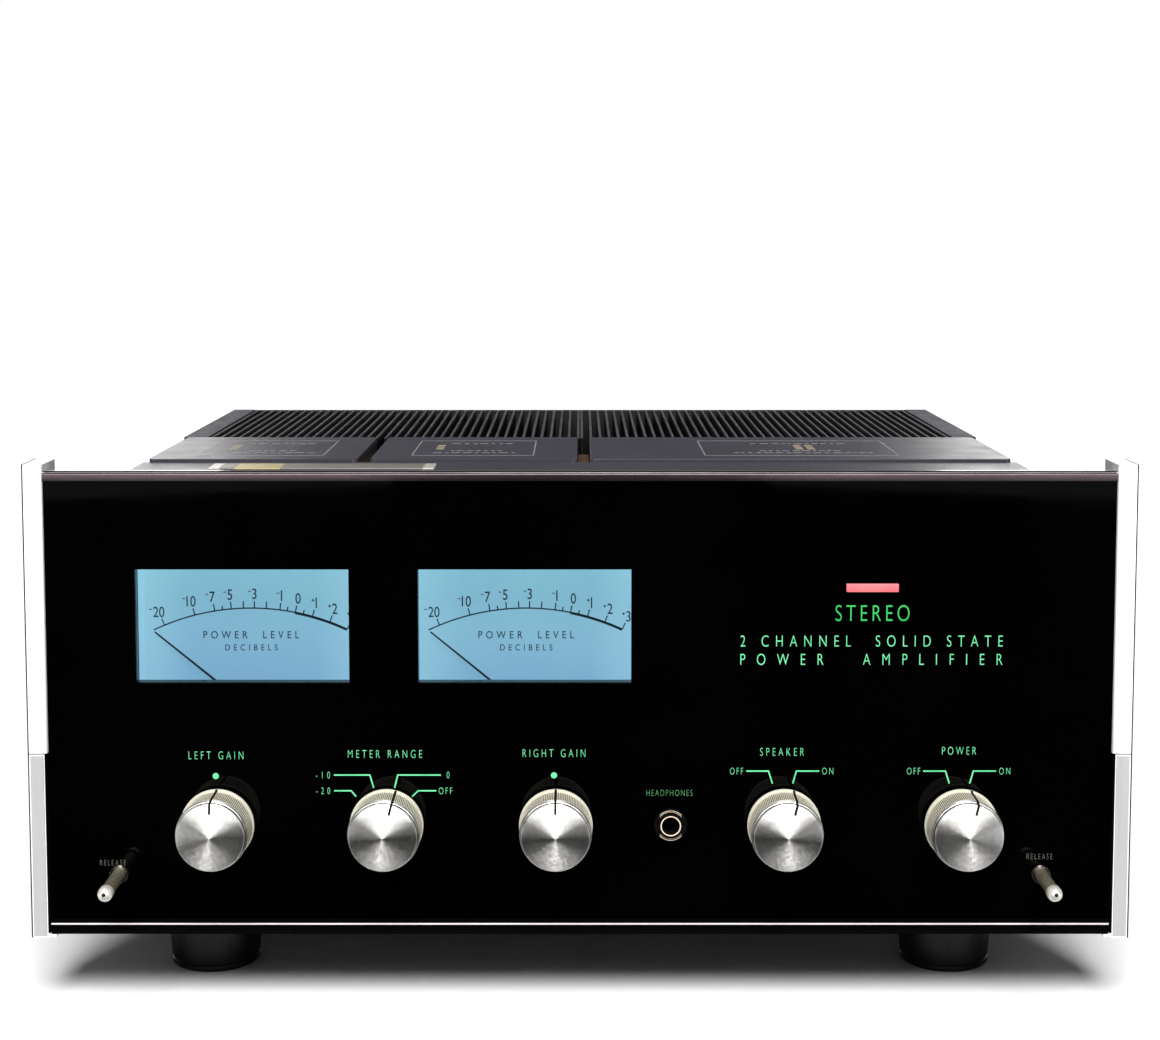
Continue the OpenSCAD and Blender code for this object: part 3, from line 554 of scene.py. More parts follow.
# The CAD nodes that show as they are, by finish
CAD_FINISH = {
    "trim": "top_trim",
    "bottom_trim": "bottom_trim",
    "cap": "end_cap_left end_cap_right",
    "enamel": "top_deck",
    "can_enamel": "can_left can_middle can_right",
    "black_enamel": "rear_panel side_wall_left side_wall_right bottom_cover",
    "fins": "heat_sink_left heat_sink_right",
    "dial": "meter_cases meter_dials",
    "needle": "pointer_left pointer_right",
    "pilot": "pilot_lens",
    "nickel": "input_jacks terminal_screws " + " ".join("shaft_" + k for k in KNOBS),
    "jack": "headphone_jack bush_nuts",
    "guide": "pin_guides",
    "pin_left": "release_pin_left",
    "pin_right": "release_pin_right",
    "steel": "chassis_screws output_transistors",
    "zinc": "front_subpanel gain_pots latch_left latch_right",
    "tray": "light_box",
    "phenolic": "speaker_strips fuse_holder fuse_cap ac_outlets cord_gland",
    "wafer": "rotary_switches",
    "board": "circuit_boards",
    "sleeve": "filter_capacitors",
    "lamp": "panel_lamps",
    "core": "transformer_cores",
    "copper": "transformer_windings",
    "slide": "mode_switch",
    "foot": "feet",
    "label": "label_plate",
}

# CAD nodes whose edges show, by the width of their bevel in millimetres
SOFT_EDGES = {
    0.12: "label_plate",
    0.18: "heat_sink_left heat_sink_right",
    0.2: "top_trim bottom_trim pilot_lens input_jacks",
    0.25: "rear_panel headphone_jack bush_nuts pin_guides",
    0.3: "side_wall_left side_wall_right bottom_cover speaker_strips mode_switch fuse_cap",
    0.35: "end_cap_left end_cap_right feet",
    0.4: "top_deck ac_outlets fuse_holder",
    0.5: "cord_gland",
    0.7: "can_left can_middle can_right",
}


# -------------------- making pieces
def new_object(name, data):
    """An object in the scene."""
    obj = bpy.data.objects.new(name, data)
    bpy.context.scene.collection.objects.link(obj)
    return obj


def soften(obj, width_mm):
    """Rounds a solid's sharp edges, after joining what its triangles split."""
    weld = obj.modifiers.new("weld", "WELD")
    weld.merge_threshold = 0.002 * MM
    planar = obj.modifiers.new("planar", "DECIMATE")
    planar.decimate_type = "DISSOLVE"
    planar.angle_limit = math.radians(0.5)
    bevel = obj.modifiers.new("soft_edges", "BEVEL")
    bevel.width = width_mm * MM
    bevel.segments = 2
    bevel.limit_method = "ANGLE"
    bevel.angle_limit = math.radians(35)
    bevel.harden_normals = True


def dress_cad():
    """Gives the CAD nodes their finishes and their soft edges."""
    for finish, nodes in CAD_FINISH.items():
        for node in nodes.split():
            materials = frame["nodes"][node].data.materials
            materials.clear()
            materials.append(FINISHES[finish])
    for width_mm, nodes in SOFT_EDGES.items():
        for node in nodes.split():
            soften(frame["nodes"][node], width_mm)


def add(name, mesh, finishes, body="chassis", replaces=(), smooth=30):
    """A piece from a mesh in the frame's own place, with its finishes, riding on a body."""
    obj = new_object(name, mesh)
    for finish in [finishes] if isinstance(finishes, str) else finishes:
        mesh.materials.append(FINISHES[finish])
    if smooth:
        mesh.set_sharp_from_angle(angle=math.radians(smooth))
    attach(obj, body)
    if replaces:
        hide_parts(*replaces)
    return obj


def add_ink(name, mesh, finish):
    """A printed piece, with flat faces."""
    add(name, mesh, finish, smooth=0)


def from_bmesh(name, bm):
    """A mesh from a bmesh, with its faces turned outwards."""
    bmesh.ops.recalc_face_normals(bm, faces=bm.faces)
    mesh = bpy.data.meshes.new(name)
    bm.to_mesh(mesh)
    bm.free()
    mesh.polygons.foreach_set("use_smooth", [True] * len(mesh.polygons))
    return mesh


def pour(mesh, bm):
    """Adds a mesh to a bmesh; the mesh is removed."""
    bm.from_mesh(mesh)
    bpy.data.meshes.remove(mesh)


def settle(obj):
    """A mesh with an object's modifiers and transform applied; the object is removed."""
    bpy.context.view_layer.update()
    mesh = bpy.data.meshes.new_from_object(obj.evaluated_get(bpy.context.evaluated_depsgraph_get()))
    mesh.transform(obj.matrix_world)
    mesh.materials.clear()
    data = obj.data
    bpy.data.objects.remove(obj)
    bpy.data.curves.remove(data)
    return mesh


UPRIGHT = Matrix.Rotation(math.radians(90), 4, "X")
BACKWARDS = Matrix.Rotation(math.radians(180), 4, "Z") @ UPRIGHT


def ring(radius, centre, count=48):
    """Points round a circle."""
    turn = 2 * math.pi / count
    return [(centre[0] + radius * math.cos(turn * i), centre[1] + radius * math.sin(turn * i))
            for i in range(count)]


def box_outline(low, high):
    return [low, (high[0], low[1]), high, (low[0], high[1])]


def sheet(outlines, thickness, bevel=0.0):
    """A flat sheet as thick as given, from closed outlines, of which inner ones are holes."""
    curve = bpy.data.curves.new("sheet", "CURVE")
    curve.dimensions = "2D"
    curve.fill_mode = "BOTH"
    curve.extrude = thickness / 2 - bevel
    curve.bevel_depth = bevel
    curve.bevel_resolution = 1
    curve.offset = -bevel
    for outline in outlines:
        spline = curve.splines.new("POLY")
        spline.points.add(len(outline) - 1)
        for point, (x, y) in zip(spline.points, outline):
            point.co = (x, y, 0, 1)
        spline.use_cyclic_u = True
    return new_object("sheet", curve)


def upright_sheet(outlines, front, thickness, bevel=0.0):
    """A sheet in X and Z whose front face is at y = front."""
    obj = sheet(outlines, thickness, bevel)
    obj.matrix_world = Matrix.Translation((0, front + thickness / 2, 0)) @ UPRIGHT
    return settle(obj)


def flat_sheet(outlines, bottom, thickness, bevel=0.0):
    """A sheet in X and Y that lies on z = bottom."""
    obj = sheet(outlines, thickness, bevel)
    obj.matrix_world = Matrix.Translation((0, 0, bottom + thickness / 2))
    return settle(obj)


def lathe(profile, segments, shape):
    """A closed solid turned about Z from (radius, height) points. shape(angle, radius, height)
    gives each point's own radius, and the ends of the profile meet the axis."""
    bm = bmesh.new()
    rings = []
    for radius, height in profile:
        if radius == 0:
            rings.append([bm.verts.new((0, 0, height))])
            continue
        points = []
        for s in range(segments):
            angle = 2 * math.pi * s / segments
            r = shape(angle, radius, height)
            points.append(bm.verts.new((r * math.cos(angle), r * math.sin(angle), height)))
        rings.append(points)
    for lower, upper in zip(rings, rings[1:]):
        for s in range(segments):
            t = (s + 1) % segments
            corners = [lower[s % len(lower)], lower[t % len(lower)],
                       upper[t % len(upper)], upper[s % len(upper)]]
            unique = list(dict.fromkeys(corners))
            if len(unique) > 2:
                bm.faces.new(unique)
    return bm


def strip(points, width):
    """An outline of a line of constant width along points, with mitred corners."""
    left, right = [], []
    for i, p in enumerate(points):
        here = Vector(p)
        before = (here - Vector(points[i - 1])).normalized() if i else None
        after = (Vector(points[i + 1]) - here).normalized() if i + 1 < len(points) else None
        way = ((before or after) + (after or before)).normalized()
        side = Vector((-way.y, way.x))
        reach = width / 2 / max(0.3, way.dot(after or before))
        left.append(tuple(here + side * reach))
        right.append(tuple(here - side * reach))
    return left + right[::-1]


INK_T = 0.05 * MM
HALF_EXTRUDE = 0.001


def words_mesh(words, cap_height, width, place, narrow=0.8, weight=0.0):
    """Words as thin print in narrow letters, cap_height tall, spaced out to a width if given.
    weight makes their strokes thicker or thinner."""
    def text(spacing):
        curve = bpy.data.curves.new("words", "FONT")
        curve.body = words
        curve.align_x = "CENTER"
        curve.align_y = "CENTER"
        curve.space_character = spacing
        curve.offset = weight
        curve.extrude = HALF_EXTRUDE
        return settle(new_object("words", curve))

    def corners(mesh):
        xs = [v.co.x for v in mesh.vertices]
        ys = [v.co.y for v in mesh.vertices]
        return Vector((min(xs), min(ys), 0)), Vector((max(xs), max(ys), 0))

    def extent(spacing):
        mesh = text(spacing)
        low, high = corners(mesh)
        bpy.data.meshes.remove(mesh)
        return high - low

    plain = extent(1.0)
    scale = cap_height / plain.y
    spacing = 1.0
    if width:
        gain = extent(2.0).x - plain.x
        spacing += (width / scale / narrow - plain.x) / max(1e-6, gain)
    mesh = text(spacing)
    low, high = corners(mesh)
    shrink = Matrix.Diagonal((narrow * scale, scale, INK_T / (2 * HALF_EXTRUDE), 1))
    mesh.transform(place @ shrink @ Matrix.Translation(-(low + high) / 2))
    return mesh


# -------------------- camera, lights and floor
CAMERA_BACK = 0.7158
CAMERA_UP = 0.2946
CAMERA_DOWN_DEG = 4.66
CAMERA_LENS = 60.74
CAMERA_SHIFT = -0.12


def make_camera():
    """The photo's viewpoint, solved from the edges of the chassis's top."""
    camera = bpy.data.cameras.new("camera")
    camera.lens = CAMERA_LENS
    camera.shift_y = CAMERA_SHIFT
    camera.clip_start = 0.05
    obj = new_object("camera", camera)
    obj.location = (0, FRONT - CAMERA_BACK, CAMERA_UP)
    obj.rotation_euler = (math.radians(90 - CAMERA_DOWN_DEG), 0, 0)
    bpy.context.scene.camera = obj


def area_light(name, place, aim, size, watts):
    light = bpy.data.lights.new(name, "AREA")
    light.shape = "RECTANGLE"
    light.size, light.size_y = size
    light.energy = watts
    obj = new_object(name, light)
    obj.location = place
    obj.rotation_euler = (Vector(aim) - Vector(place)).to_track_quat("-Z", "Y").to_euler()
    return obj


SURROUND_LIGHT = 0.05
SUN_ENERGY = 4.3
SUN_SPREAD_DEG = 30
SUN_TILT_DEG = 38
FRONT_WATTS = 4
REAR_WATTS = 24


def make_lights():
    """A wide, soft sun from above, softboxes in front and behind, and a white surround that
    lights less than it shows. Returns the softbox behind."""
    world = bpy.data.worlds.new("studio")
    world.use_nodes = True
    tree = world.node_tree
    background = tree.nodes["Background"]
    background.inputs["Color"].default_value = (1, 1, 1, 1)
    seen = tree.nodes.new("ShaderNodeMapRange")
    tree.links.new(tree.nodes.new("ShaderNodeLightPath").outputs["Is Camera Ray"], seen.inputs[0])
    seen.inputs[3].default_value = SURROUND_LIGHT
    seen.inputs[4].default_value = 1.0
    tree.links.new(seen.outputs[0], background.inputs["Strength"])
    bpy.context.scene.world = world
    sun = bpy.data.lights.new("overhead", "SUN")
    sun.energy = SUN_ENERGY
    sun.angle = math.radians(SUN_SPREAD_DEG)
    new_object("overhead", sun).rotation_euler = (math.radians(SUN_TILT_DEG), 0, 0)
    area_light("front_softbox", (0, -1.7, 1.5), (0, 0, 0.1), (1.8, 0.9), FRONT_WATTS)
    return area_light("rear_softbox", (0, 2.6, 0.6), (0, 0, 0.12), (1.6, 0.8), REAR_WATTS)


def stage_card(name, corners, material, camera_sees=False):
    """A flat card that isn't part of the object. The camera, shadows and soft light don't meet
    it unless the camera sees it."""
    mesh = bpy.data.meshes.new(name)
    mesh.from_pydata(corners, [], [tuple(range(len(corners)))])
    mesh.materials.append(material)
    obj = new_object(name, mesh)
    if not camera_sees:
        obj.visible_camera = False
        obj.visible_diffuse = False
        obj.visible_shadow = False
        obj.visible_transmission = False
    return obj


def glowing_card(name, strength):
    """A white card material that gives light."""
    card = Finish(name, (0.8, 0.8, 0.8), 1.0)
    card.glow((1.0, 0.99, 0.97), strength)
    return card.material


def upright_card(name, x0, x1, y, z0, z1, material):
    return stage_card(name, [(x0, y, z0), (x1, y, z0), (x1, y, z1), (x0, y, z1)], material)


def make_stage():
    """A pale floor, a black card on it that only the gloss of the front sees, a bright card high
    in front and two paler ones behind. Returns the bright one."""
    pale = Finish("pale_floor", (0.97, 0.97, 0.97), 0.8)
    pale.mottle((0.965, 0.965, 0.965), (0.975, 0.975, 0.975), 3)
    half = 6
    stage_card("floor", [(-half, -half, 0), (half, -half, 0), (half, half, 0), (-half, half, 0)],
               pale.material, True)
    black = Finish("card_black", (0.0, 0.0, 0.0), 1.0, specular=0.0)
    outline = [(0.23, FRONT - 0.02), (0.64, FRONT - 1.3), (0.21, FRONT - 1.45), (0.5, FRONT - 5.5)]
    outline += [(-x, y) for x, y in reversed(outline)]
    stage_card("glass_card", [(x, y, 0.002) for x, y in outline], black.material)
    white = glowing_card("card_white", 5)
    high_card = upright_card("high_card", -3.2, 3.2, FRONT - 2.6, 0.5, 2.6, white)
    soft = glowing_card("card_soft", 1.7)
    for name, sign in SIDES.items():
        upright_card("rear_card_" + name, sign * 0.72, sign * 2.4, 3.0, 0.05, 1.6, soft)
    return high_card


def light_only(source, prefixes):
    """Lets a light or a card light only the pieces whose names start with one of the prefixes."""
    lit = bpy.data.collections.new("lit_by_" + source.name)
    for obj in bpy.data.objects:
        if obj.name.startswith(prefixes):
            lit.objects.link(obj)
    source.light_linking.receiver_collection = lit


# -------------------- the front panel
METER_WINDOW = (79.1, 42.6)
METER_Z = 144.9
PIN_X, PIN_Z = 172.5, 51.0
PILOT = (108.4, 159.3)
PILOT_SIZE = (19.5, 3.3)
GLASS_T = 4.0
KNOB_HOLE_R, JACK_HOLE_R, PIN_HOLE_R = 4.3, 4.75, 3.2
LABEL_Z, SWITCH_Z, UPPER_Z, LOWER_Z = 97.0, 90.2, 88.7, 82.7
LABEL_CAP, OPTION_CAP = 2.95, 2.5
DOT_R = 1.15


def opening(centre, size):
    """An upright rectangle's outline, from millimetres."""
    middle, half = Vector(centre) * MM, Vector(size) * MM / 2
    return box_outline(tuple(middle - half), tuple(middle + half))


def make_glass():
    """The black glass with its holes, and the two clear stretches over the meters."""
    outer = box_outline((GLASS_LOW.x, GLASS_LOW.z), (GLASS_HIGH.x, GLASS_HIGH.z))
    holes = [ring(KNOB_HOLE_R * MM, (axis.x, axis.z)) for axis in KNOB_AXES.values()]
    holes.append(ring(JACK_HOLE_R * MM, (JACK[0] * MM, JACK[1] * MM)))
    holes += [ring(PIN_HOLE_R * MM, (side * PIN_X * MM, PIN_Z * MM)) for side in SIDES.values()]
    holes.append(opening(PILOT, PILOT_SIZE))
    windows = [opening((METER_AXES[meter].x / MM, METER_Z), METER_WINDOW) for meter in METERS]
    panel = upright_sheet([outer, *holes, *windows], FRONT, GLASS_T * MM, 0.15 * MM)
    add("glass_panel", panel, "glass", replaces=["front_glass"])
    for meter, outline in zip(METERS, windows):
        pane = upright_sheet([outline], FRONT, GLASS_T * MM, 0.05 * MM)
        add("glass_window_" + meter, pane, "clear")


def print_on_glass(name, mesh, finish="green"):
    add_ink("print_" + name, mesh, finish)


def lettering(name, words, x, z, cap, width, finish="green"):
    """One line of lettering on the glass, centred on (x, z), in millimetres. Small letters have
    thinner strokes."""
    place = Matrix.Translation((x * MM, FRONT - 0.03 * MM, z * MM)) @ UPRIGHT
    narrow, weight = (0.7, -0.012) if cap > 4 else (0.64, -0.018)
    mesh = words_mesh(words, cap * MM, width and width * MM, place, narrow, weight)
    print_on_glass(name, mesh, finish)


def guide_line(name, points, width=0.5):
    """A thin line on the glass from a word towards its knob, in millimetres."""
    outline = strip([(x * MM, z * MM) for x, z in points], width * MM)
    print_on_glass(name, upright_sheet([outline], FRONT - INK_T, INK_T))


def dot(name, x, z):
    outline = ring(DOT_R * MM, (x * MM, z * MM), 32)
    print_on_glass(name, upright_sheet([outline], FRONT - INK_T, INK_T))


def make_lettering():
    """Lit lettering: what each control is, its settings, and a plain title."""
    labels = {"left_gain": ("LEFT GAIN", 20.4, -0.8), "meter_range": ("METER RANGE", 27.6, -0.3),
              "right_gain": ("RIGHT GAIN", 23.4, 0), "speaker": ("SPEAKER", 16.4, 0.5),
              "power": ("POWER", 12.7, 0.9)}
    for knob, (words, width, lift) in labels.items():
        x = KNOB_AXES[knob].x / MM - 0.7
        lettering("name_" + knob, words, x, LABEL_Z + lift, LABEL_CAP, width)
    for knob, x in (("speaker", 76), ("power", 142)):
        lettering(knob + "_off", "OFF", x - 17.6, SWITCH_Z, OPTION_CAP, 4.9)
        lettering(knob + "_on", "ON", x + 16.4, SWITCH_Z, OPTION_CAP, 4.1)
        guide_line(knob + "_off_line", [(x - 14.0, SWITCH_Z), (x - 5.7, SWITCH_Z), (x - 4.2, 85.5)])
        guide_line(knob + "_on_line", [(x + 13.2, SWITCH_Z), (x + 4.7, SWITCH_Z), (x + 3.4, 85.5)])
    lettering("range_10", "-10", -95.9, UPPER_Z, OPTION_CAP, 5.2)
    lettering("range_20", "-20", -95.9, LOWER_Z, OPTION_CAP, 5.2)
    lettering("range_0", "0", -49.2, UPPER_Z, OPTION_CAP, None)
    lettering("range_off", "OFF", -50.2, LOWER_Z, OPTION_CAP, 5.0)
    guide_line("range_10_line", [(-91.8, UPPER_Z), (-78.4, UPPER_Z), (-77.0, 83.8)])
    guide_line("range_0_line", [(-51.9, UPPER_Z), (-68.0, UPPER_Z), (-69.2, 83.8)])
    guide_line("range_20_line", [(-91.8, LOWER_Z), (-85.4, LOWER_Z), (-83.6, 80.5)])
    guide_line("range_off_line", [(-53.7, LOWER_Z), (-60.4, LOWER_Z), (-62.7, 80.5)])
    dot("left_gain_dot", -135.9, 88.3)
    dot("right_gain_dot", -9.7, 88.6)
    lettering("headphones", "HEADPHONES", 33.4, 81.9, 2.3, 17.2, "dim_green")
    lettering("title_mark", "STEREO", 108.4, 149.9, 6.0, 27.4, "mark_green")
    lettering("title_upper", "2 CHANNEL  SOLID STATE", 108.2, 139.4, 4.2, 97.3)
    lettering("title_lower", "POWER  AMPLIFIER", 108.2, 132.5, 4.2, 97.3)
    for side, x, z in (("left", -2.4 - PIN_X, 55.2), ("right", PIN_X - 0.5, 57.6)):
        lettering("release_" + side, "RELEASE", x, z, 2.1, 9.7, "grey_ink")


# -------------------- meters
ARC_Z = 61.8
ARC_R = 86.0
SCALE_MARKS = [
    (-33.0, "-20"), (-21.4, "-10"), (-13.8, "-7"), (-10.8, ""), (-7.5, "-5"), (-2.8, ""),
    (1.3, "-3"), (5.8, ""), (11.0, "-1"), (13.8, ""), (16.9, "0"), (19.9, ""), (23.4, "+1"),
    (30.0, "+2"), (36.6, "+3"),
]
LONG_TICKS = (-2.8, 5.8)


def on_arc(offset, rise=0.0):
    """A place on the scale's arc, beside the meter's middle line, or rise beyond the arc, in
    millimetres."""
    up = math.sqrt(ARC_R ** 2 - offset ** 2)
    return Vector((offset, up)) * (1 + rise / ARC_R) + Vector((0, ARC_Z))


def dial_line(points, width, centre):
    return strip([((centre + p[0]) * MM, p[1] * MM) for p in points], width * MM)


def make_scale(meter):
    """The printed scale of a meter: arc, ticks, numbers and words."""
    centre = METER_AXES[meter].x / MM
    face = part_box("meter_dials")[0].y - INK_T
    arc = [on_arc(-37.2 + 2.05 * i) for i in range(37)]
    heavy = [on_arc(16.8 + 2.2 * i, -0.2) for i in range(10)]
    outlines = [dial_line(arc, 0.55, centre), dial_line(heavy, 1.0, centre)]
    for offset, words in SCALE_MARKS:
        tall = 2.7 if words or offset in LONG_TICKS else 1.6
        outlines.append(dial_line([on_arc(offset), on_arc(offset, tall)], 0.48, centre))
    marks = bmesh.new()
    for outline in outlines:
        pour(upright_sheet([outline], face, INK_T), marks)
    for offset, words in SCALE_MARKS:
        if words:
            for mesh in scale_number(words, on_arc(offset, 5.5) + Vector((centre, 0)), face):
                pour(mesh, marks)
    titles = (("POWER  LEVEL", 137.5, 2.9, 36.5), ("DECIBELS", 132.6, 2.4, 20.0))
    for words, z, cap, width in titles:
        place = Matrix.Translation((centre * MM, face, z * MM)) @ UPRIGHT
        pour(words_mesh(words, cap * MM, width * MM, place, 0.85, 0.008), marks)
    add_ink("meter_scale_" + meter, from_bmesh("scale_" + meter, marks), "navy")


def scale_number(words, centre, face):
    """The digits of a scale number, tall and narrow, with a small raised sign before them."""
    digits = words.lstrip("+-")
    place = Matrix.Translation((centre.x * MM, face, centre.y * MM)) @ UPRIGHT
    mesh = words_mesh(digits, 4.1 * MM, None, place, 0.78, 0.006)
    meshes = [mesh]
    if words != digits:
        left = min(v.co.x for v in mesh.vertices) / MM - 1.0
        up = centre.y + 1.0
        half = 0.55
        bars = [[(left - half, up), (left + half, up)]]
        if words.startswith("+"):
            bars.append([(left, up - half), (left, up + half)])
        for bar in bars:
            outline = strip([(x * MM, z * MM) for x, z in bar], 0.34 * MM)
            meshes.append(upright_sheet([outline], face, INK_T))
    return meshes


# -------------------- controls
KNOB_R = 13.7
KNOB_LEN = 18.0
KNOB_GAP = 2.0
FLUTES = 120
FLUTE_DEPTH = 0.3
FACE_FROM = 16.3
FACE_R = 11.8


def knob_place(knob):
    """Where a knob's own axis, pointing out of the panel, lies in the frame."""
    axis = KNOB_AXES[knob]
    seat = Matrix.Translation((axis.x, FRONT - KNOB_GAP * MM, axis.z))
    return seat @ Matrix.Rotation(KNOB_REST[knob], 4, "Y") @ UPRIGHT


def fluted(angle, radius, height):
    """Flutes in the skirt of a knob, fading out towards both its ends."""
    low, high, fading = 2.6 * MM, 12.6 * MM, 0.6 * MM
    if radius > (KNOB_R - 1) * MM and low <= height <= high:
        fade = min(1.0, (height - low) / fading, (high - height) / fading)
        radius -= FLUTE_DEPTH * MM * fade * (0.5 - 0.5 * math.cos(FLUTES * angle))
    return radius


def make_knob(knob):
    """A spun face over a fluted skirt, hollow behind, with a black line for a pointer, and shade
    painted into the flute valleys and the waist under the rim.
    """
    bore, hub, inner = 3.05, 5.6, KNOB_R - 2.6
    back = [(0, 14), (bore, 14), (bore, 0), (hub, 0), (hub, 8), (inner, 8), (inner, 0)]
    skirt = [(KNOB_R - 0.5, 0), (KNOB_R, 0.5), (KNOB_R, 1.7), (KNOB_R - 0.35, 2.3),
             (KNOB_R - 0.35, 2.6), (KNOB_R - 0.36, 3.2), (KNOB_R - 0.38, 8), (KNOB_R - 0.4, 12),
             (KNOB_R - 0.4, 12.6)]
    rim_r = KNOB_R - 1.1
    bevel = [(KNOB_R - 0.42, 12.8), (rim_r + 0.25, 14.05), (rim_r + 0.05, 14.15),
             (rim_r - 0.4, 14.2)]
    waist = [(rim_r - 0.6, 14.3), (rim_r - 0.6, 15.3)]
    rim = [(rim_r, 15.4), (rim_r, 15.8), (rim_r - 0.3, 16.15), (FACE_R, FACE_FROM)]
    slope = (KNOB_LEN - FACE_FROM) / FACE_R
    face = [(r, KNOB_LEN - slope * r) for r in (9, 6, 3, 1)] + [(0, KNOB_LEN)]
    profile = [(r * MM, h * MM) for r, h in back + skirt + bevel + waist + rim + face]
    bm = lathe(profile, FLUTES * 4, fluted)
    finishes = ["fluted", "spun", "groove", "flute_valley"]
    for polygon in bm.faces:
        middle = polygon.calc_center_median()
        height, reach = middle.z / MM, middle.xy.length / MM
        if height > 15.35 or (12.7 < height < 14.13 and reach > inner):
            polygon.material_index = finishes.index("spun")
        # Painted shade: the waist under the rim takes the pointer line's black.
        elif height > 14.13 and reach > inner:
            polygon.material_index = finishes.index("groove")
        # Painted shade: the valleys between the flutes take the dark copy of the skirt's finish.
        elif 3 < height < 12.7 and inner < reach < KNOB_R - 0.39 - FLUTE_DEPTH / 2:
            polygon.material_index = finishes.index("flute_valley")
    bm.transform(knob_place(knob))
    add("knob_" + knob, from_bmesh("knob_" + knob, bm), finishes,
        knob + "_control", ["knob_" + knob], 26)
    outline = [(1.0, KNOB_R + 0.03), (1.75, KNOB_R + 0.03), (2.4, KNOB_R - 0.3),
               (12.8, KNOB_R - 0.36), (14.05, rim_r + 0.31), (15.8, rim_r + 0.06),
               (16.2, rim_r - 0.28), (16.37, FACE_R), (16.8, FACE_R - 2.9), (16, FACE_R - 2.9),
               (16, FACE_R - 0.6), (1.0, KNOB_R - 1.7)]
    line = sheet([[(h * MM, r * MM) for h, r in outline]], 0.9 * MM)
    turned = Matrix(((0, 0, 1, 0), (0, 1, 0, 0), (1, 0, 0, 0), (0, 0, 0, 1)))
    line.matrix_world = knob_place(knob) @ turned
    add("pointer_line_" + knob, settle(line), "groove", knob + "_control")


WIRE_R = 0.45 * MM
SPRING_TURNS = 9


def coil(radius, wire, start, end, turns, segments=20, sides=8):
    """A compression spring about the Y axis, with its last turns closed up."""
    bm = bmesh.new()
    count = int(turns * segments)
    rings = []
    for i in range(count + 1):
        share = i / count
        eased = share - 0.045 * math.sin(2 * math.pi * share)
        angle = 2 * math.pi * turns * share
        height = start + wire + (end - start - 2 * wire) * eased
        centre = Vector((radius * math.cos(angle), height, radius * math.sin(angle)))
        out = Vector((math.cos(angle), 0, math.sin(angle)))
        along = Vector((0, 1, 0))
        rings.append([bm.verts.new(centre + wire * (out * math.cos(a) + along * math.sin(a)))
                      for a in (2 * math.pi * k / sides for k in range(sides))])
    for first, second in zip(rings, rings[1:]):
        for k in range(sides):
            m = (k + 1) % sides
            bm.faces.new((first[k], first[m], second[m], second[k]))
    bm.faces.new(rings[0])
    bm.faces.new(rings[-1])
    return bm


def make_spring(side):
    """The wire spring behind a release pin, which the pin squashes."""
    low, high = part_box("release_spring_" + side)
    middle = (low + high) / 2
    bm = coil((high.x - low.x) / 2 - WIRE_R, WIRE_R, low.y, high.y, SPRING_TURNS)
    bm.transform(Matrix.Translation((middle.x, 0, middle.z)))
    obj = add("coil_spring_" + side, from_bmesh("coil_spring_" + side, bm), "spring",
              "chassis", ["release_spring_" + side], 60)
    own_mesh(obj)


# -------------------- the top
def on_can(outlines):
    """Print on top of the cans, from outlines in millimetres."""
    metres = [[(x * MM, y * MM) for x, y in outline] for outline in outlines]
    return flat_sheet(metres, CAN_TOP + 0.01 * MM, 0.04 * MM)


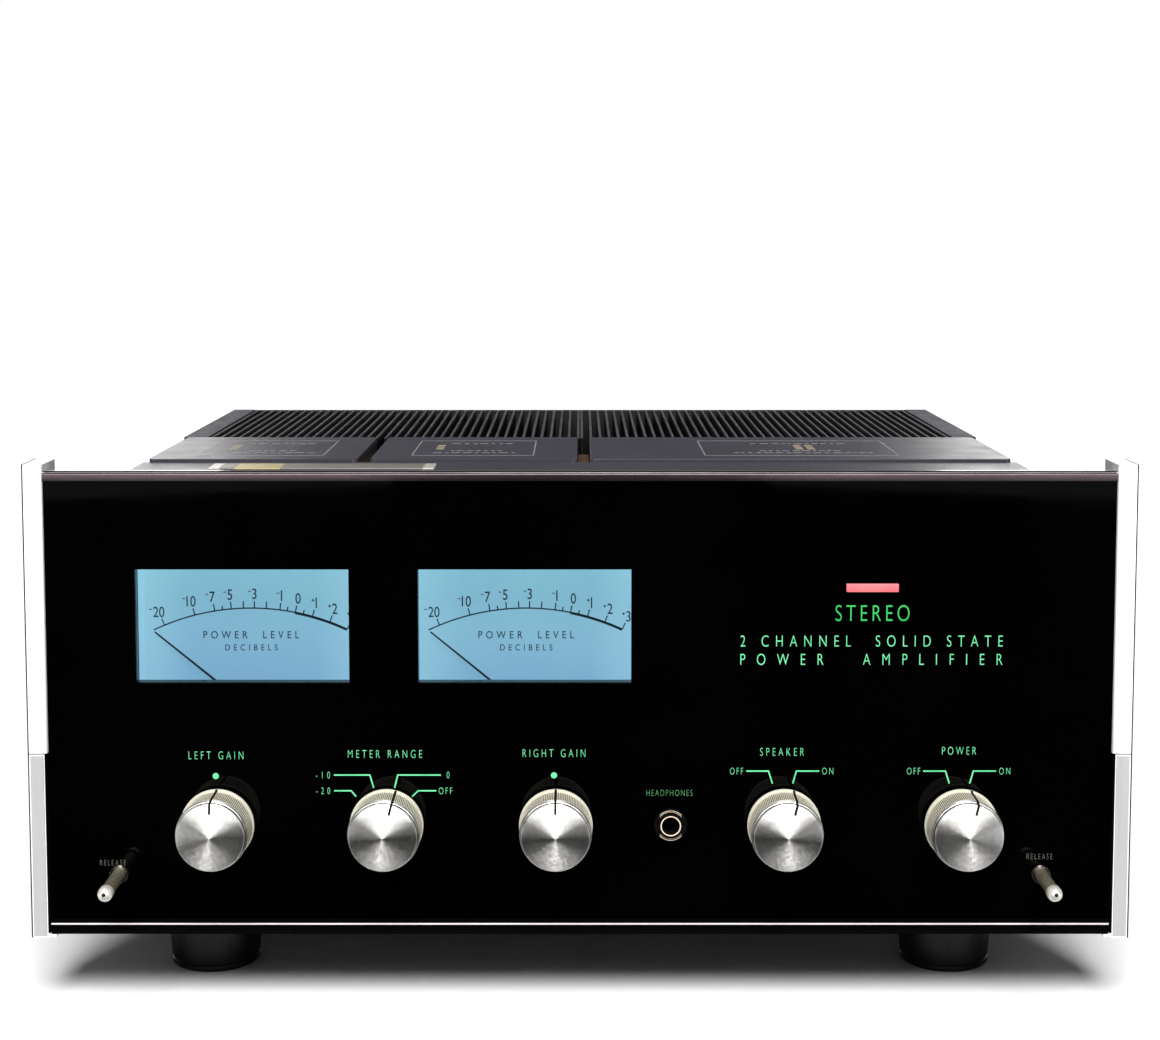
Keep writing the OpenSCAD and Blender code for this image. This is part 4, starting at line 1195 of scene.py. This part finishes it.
def make_can_panels():
    """A thin printed frame on each can, with rows of dashes and small gold blocks inside it."""
    frames = {"can_left": (-166.5, -112.0), "can_middle": (-73.7, -20.1),
              "can_right": (54.4, 139.5)}
    dash_rows = ((0.17, 0.16, 0.86), (0.3, 0.3, 0.72), (0.78, 0.28, 0.8))
    y0, y1 = (FRONT / MM + y for y in (132.4, 190.6))
    across, along = 0.55, 1.3
    for can, (x0, x1) in frames.items():
        wide, deep = x1 - x0, y1 - y0
        outer = box_outline((x0, y0), (x1, y1))
        inner = box_outline((x0 + across, y0 + along), (x1 - across, y1 - along))
        add_ink(can + "_frame", on_can([outer, inner]), "pale_ink")
        marks = bmesh.new()
        for share, start, end in dash_rows:
            x, y = x0 + wide * start, y0 + deep * share
            while x < x0 + wide * end:
                dash = random.uniform(1.4, 4.2)
                pour(on_can([box_outline((x, y), (x + dash, y + 1.8))]), marks)
                x += dash + random.uniform(0.8, 1.8)
        add_ink(can + "_marks", from_bmesh(can + "_marks", marks), "pale_ink")
        blocks = bmesh.new()
        columns = (0.17,) if wide < 70 else (0.5, 0.56)
        for column in columns:
            for row in range(3):
                x, y = x0 + wide * column, y0 + deep * (0.4 + 0.11 * row)
                pour(on_can([box_outline((x, y), (x + 3.4, y + 4.6))]), blocks)
        add_ink(can + "_blocks", from_bmesh(can + "_blocks", blocks), "gold_ink")


def make_spacers():
    """Fibre strips that stand between the cans, below their tops. Their dark brown is partly
    painted shade, filling the gaps between the cans.
    """
    cans = [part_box(can) for can in ("can_left", "can_middle", "can_right")]
    for name, before, after in zip(("left", "right"), cans, cans[1:]):
        x0, x1 = before[1].x + 0.25 * MM, after[0].x - 0.25 * MM
        y0, y1 = before[0].y + 2 * MM, before[1].y - 2 * MM
        bottom = before[1].z - 26 * MM
        mesh = flat_sheet([box_outline((x0, y0), (x1, y1))], bottom, 18 * MM, 0.3 * MM)
        add("can_spacer_" + name, mesh, "fibre")


# -------------------- the rear
def make_rear_prints():
    """Plain words beside the sockets on the rear panel."""
    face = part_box("rear_panel")[1].y + 0.03 * MM
    words = (("INPUT", -86, 124.5, 3.0), ("LEFT", -100, 101.5, 2.3), ("RIGHT", -72, 101.5, 2.3),
             ("MODE", -20, 120.5, 2.6), ("FUSE", 100, 128.0, 2.6),
             ("SPEAKER LEFT", -128, 78.5, 2.6), ("SPEAKER RIGHT", -32, 78.5, 2.6))
    for text, x, z, cap in words:
        place = Matrix.Translation((x * MM, face, z * MM)) @ BACKWARDS
        name = "rear_print_" + text.lower().replace(" ", "_")
        add_ink(name, words_mesh(text, cap * MM, None, place), "white_ink")


dress_cad()
make_camera()
rear_softbox = make_lights()
high_card = make_stage()
make_glass()
make_lettering()
for meter_name in METERS:
    make_scale(meter_name)
for knob_name in KNOBS:
    make_knob(knob_name)
for side_name in SIDES:
    make_spring(side_name)
make_can_panels()
make_spacers()
make_rear_prints()
light_only(high_card, ("knob_", "end_cap", "top_trim", "bottom_trim", "release_pin"))
light_only(rear_softbox, ("rear_p", "side_wall", "chassis_screws", "input_jacks",
                          "speaker_strips", "fuse_", "terminal_screws", "ac_outlets",
                          "mode_switch", "cord_gland"))
bpy.context.scene.view_settings.view_transform = "Standard"

bpy.context.view_layer.update()
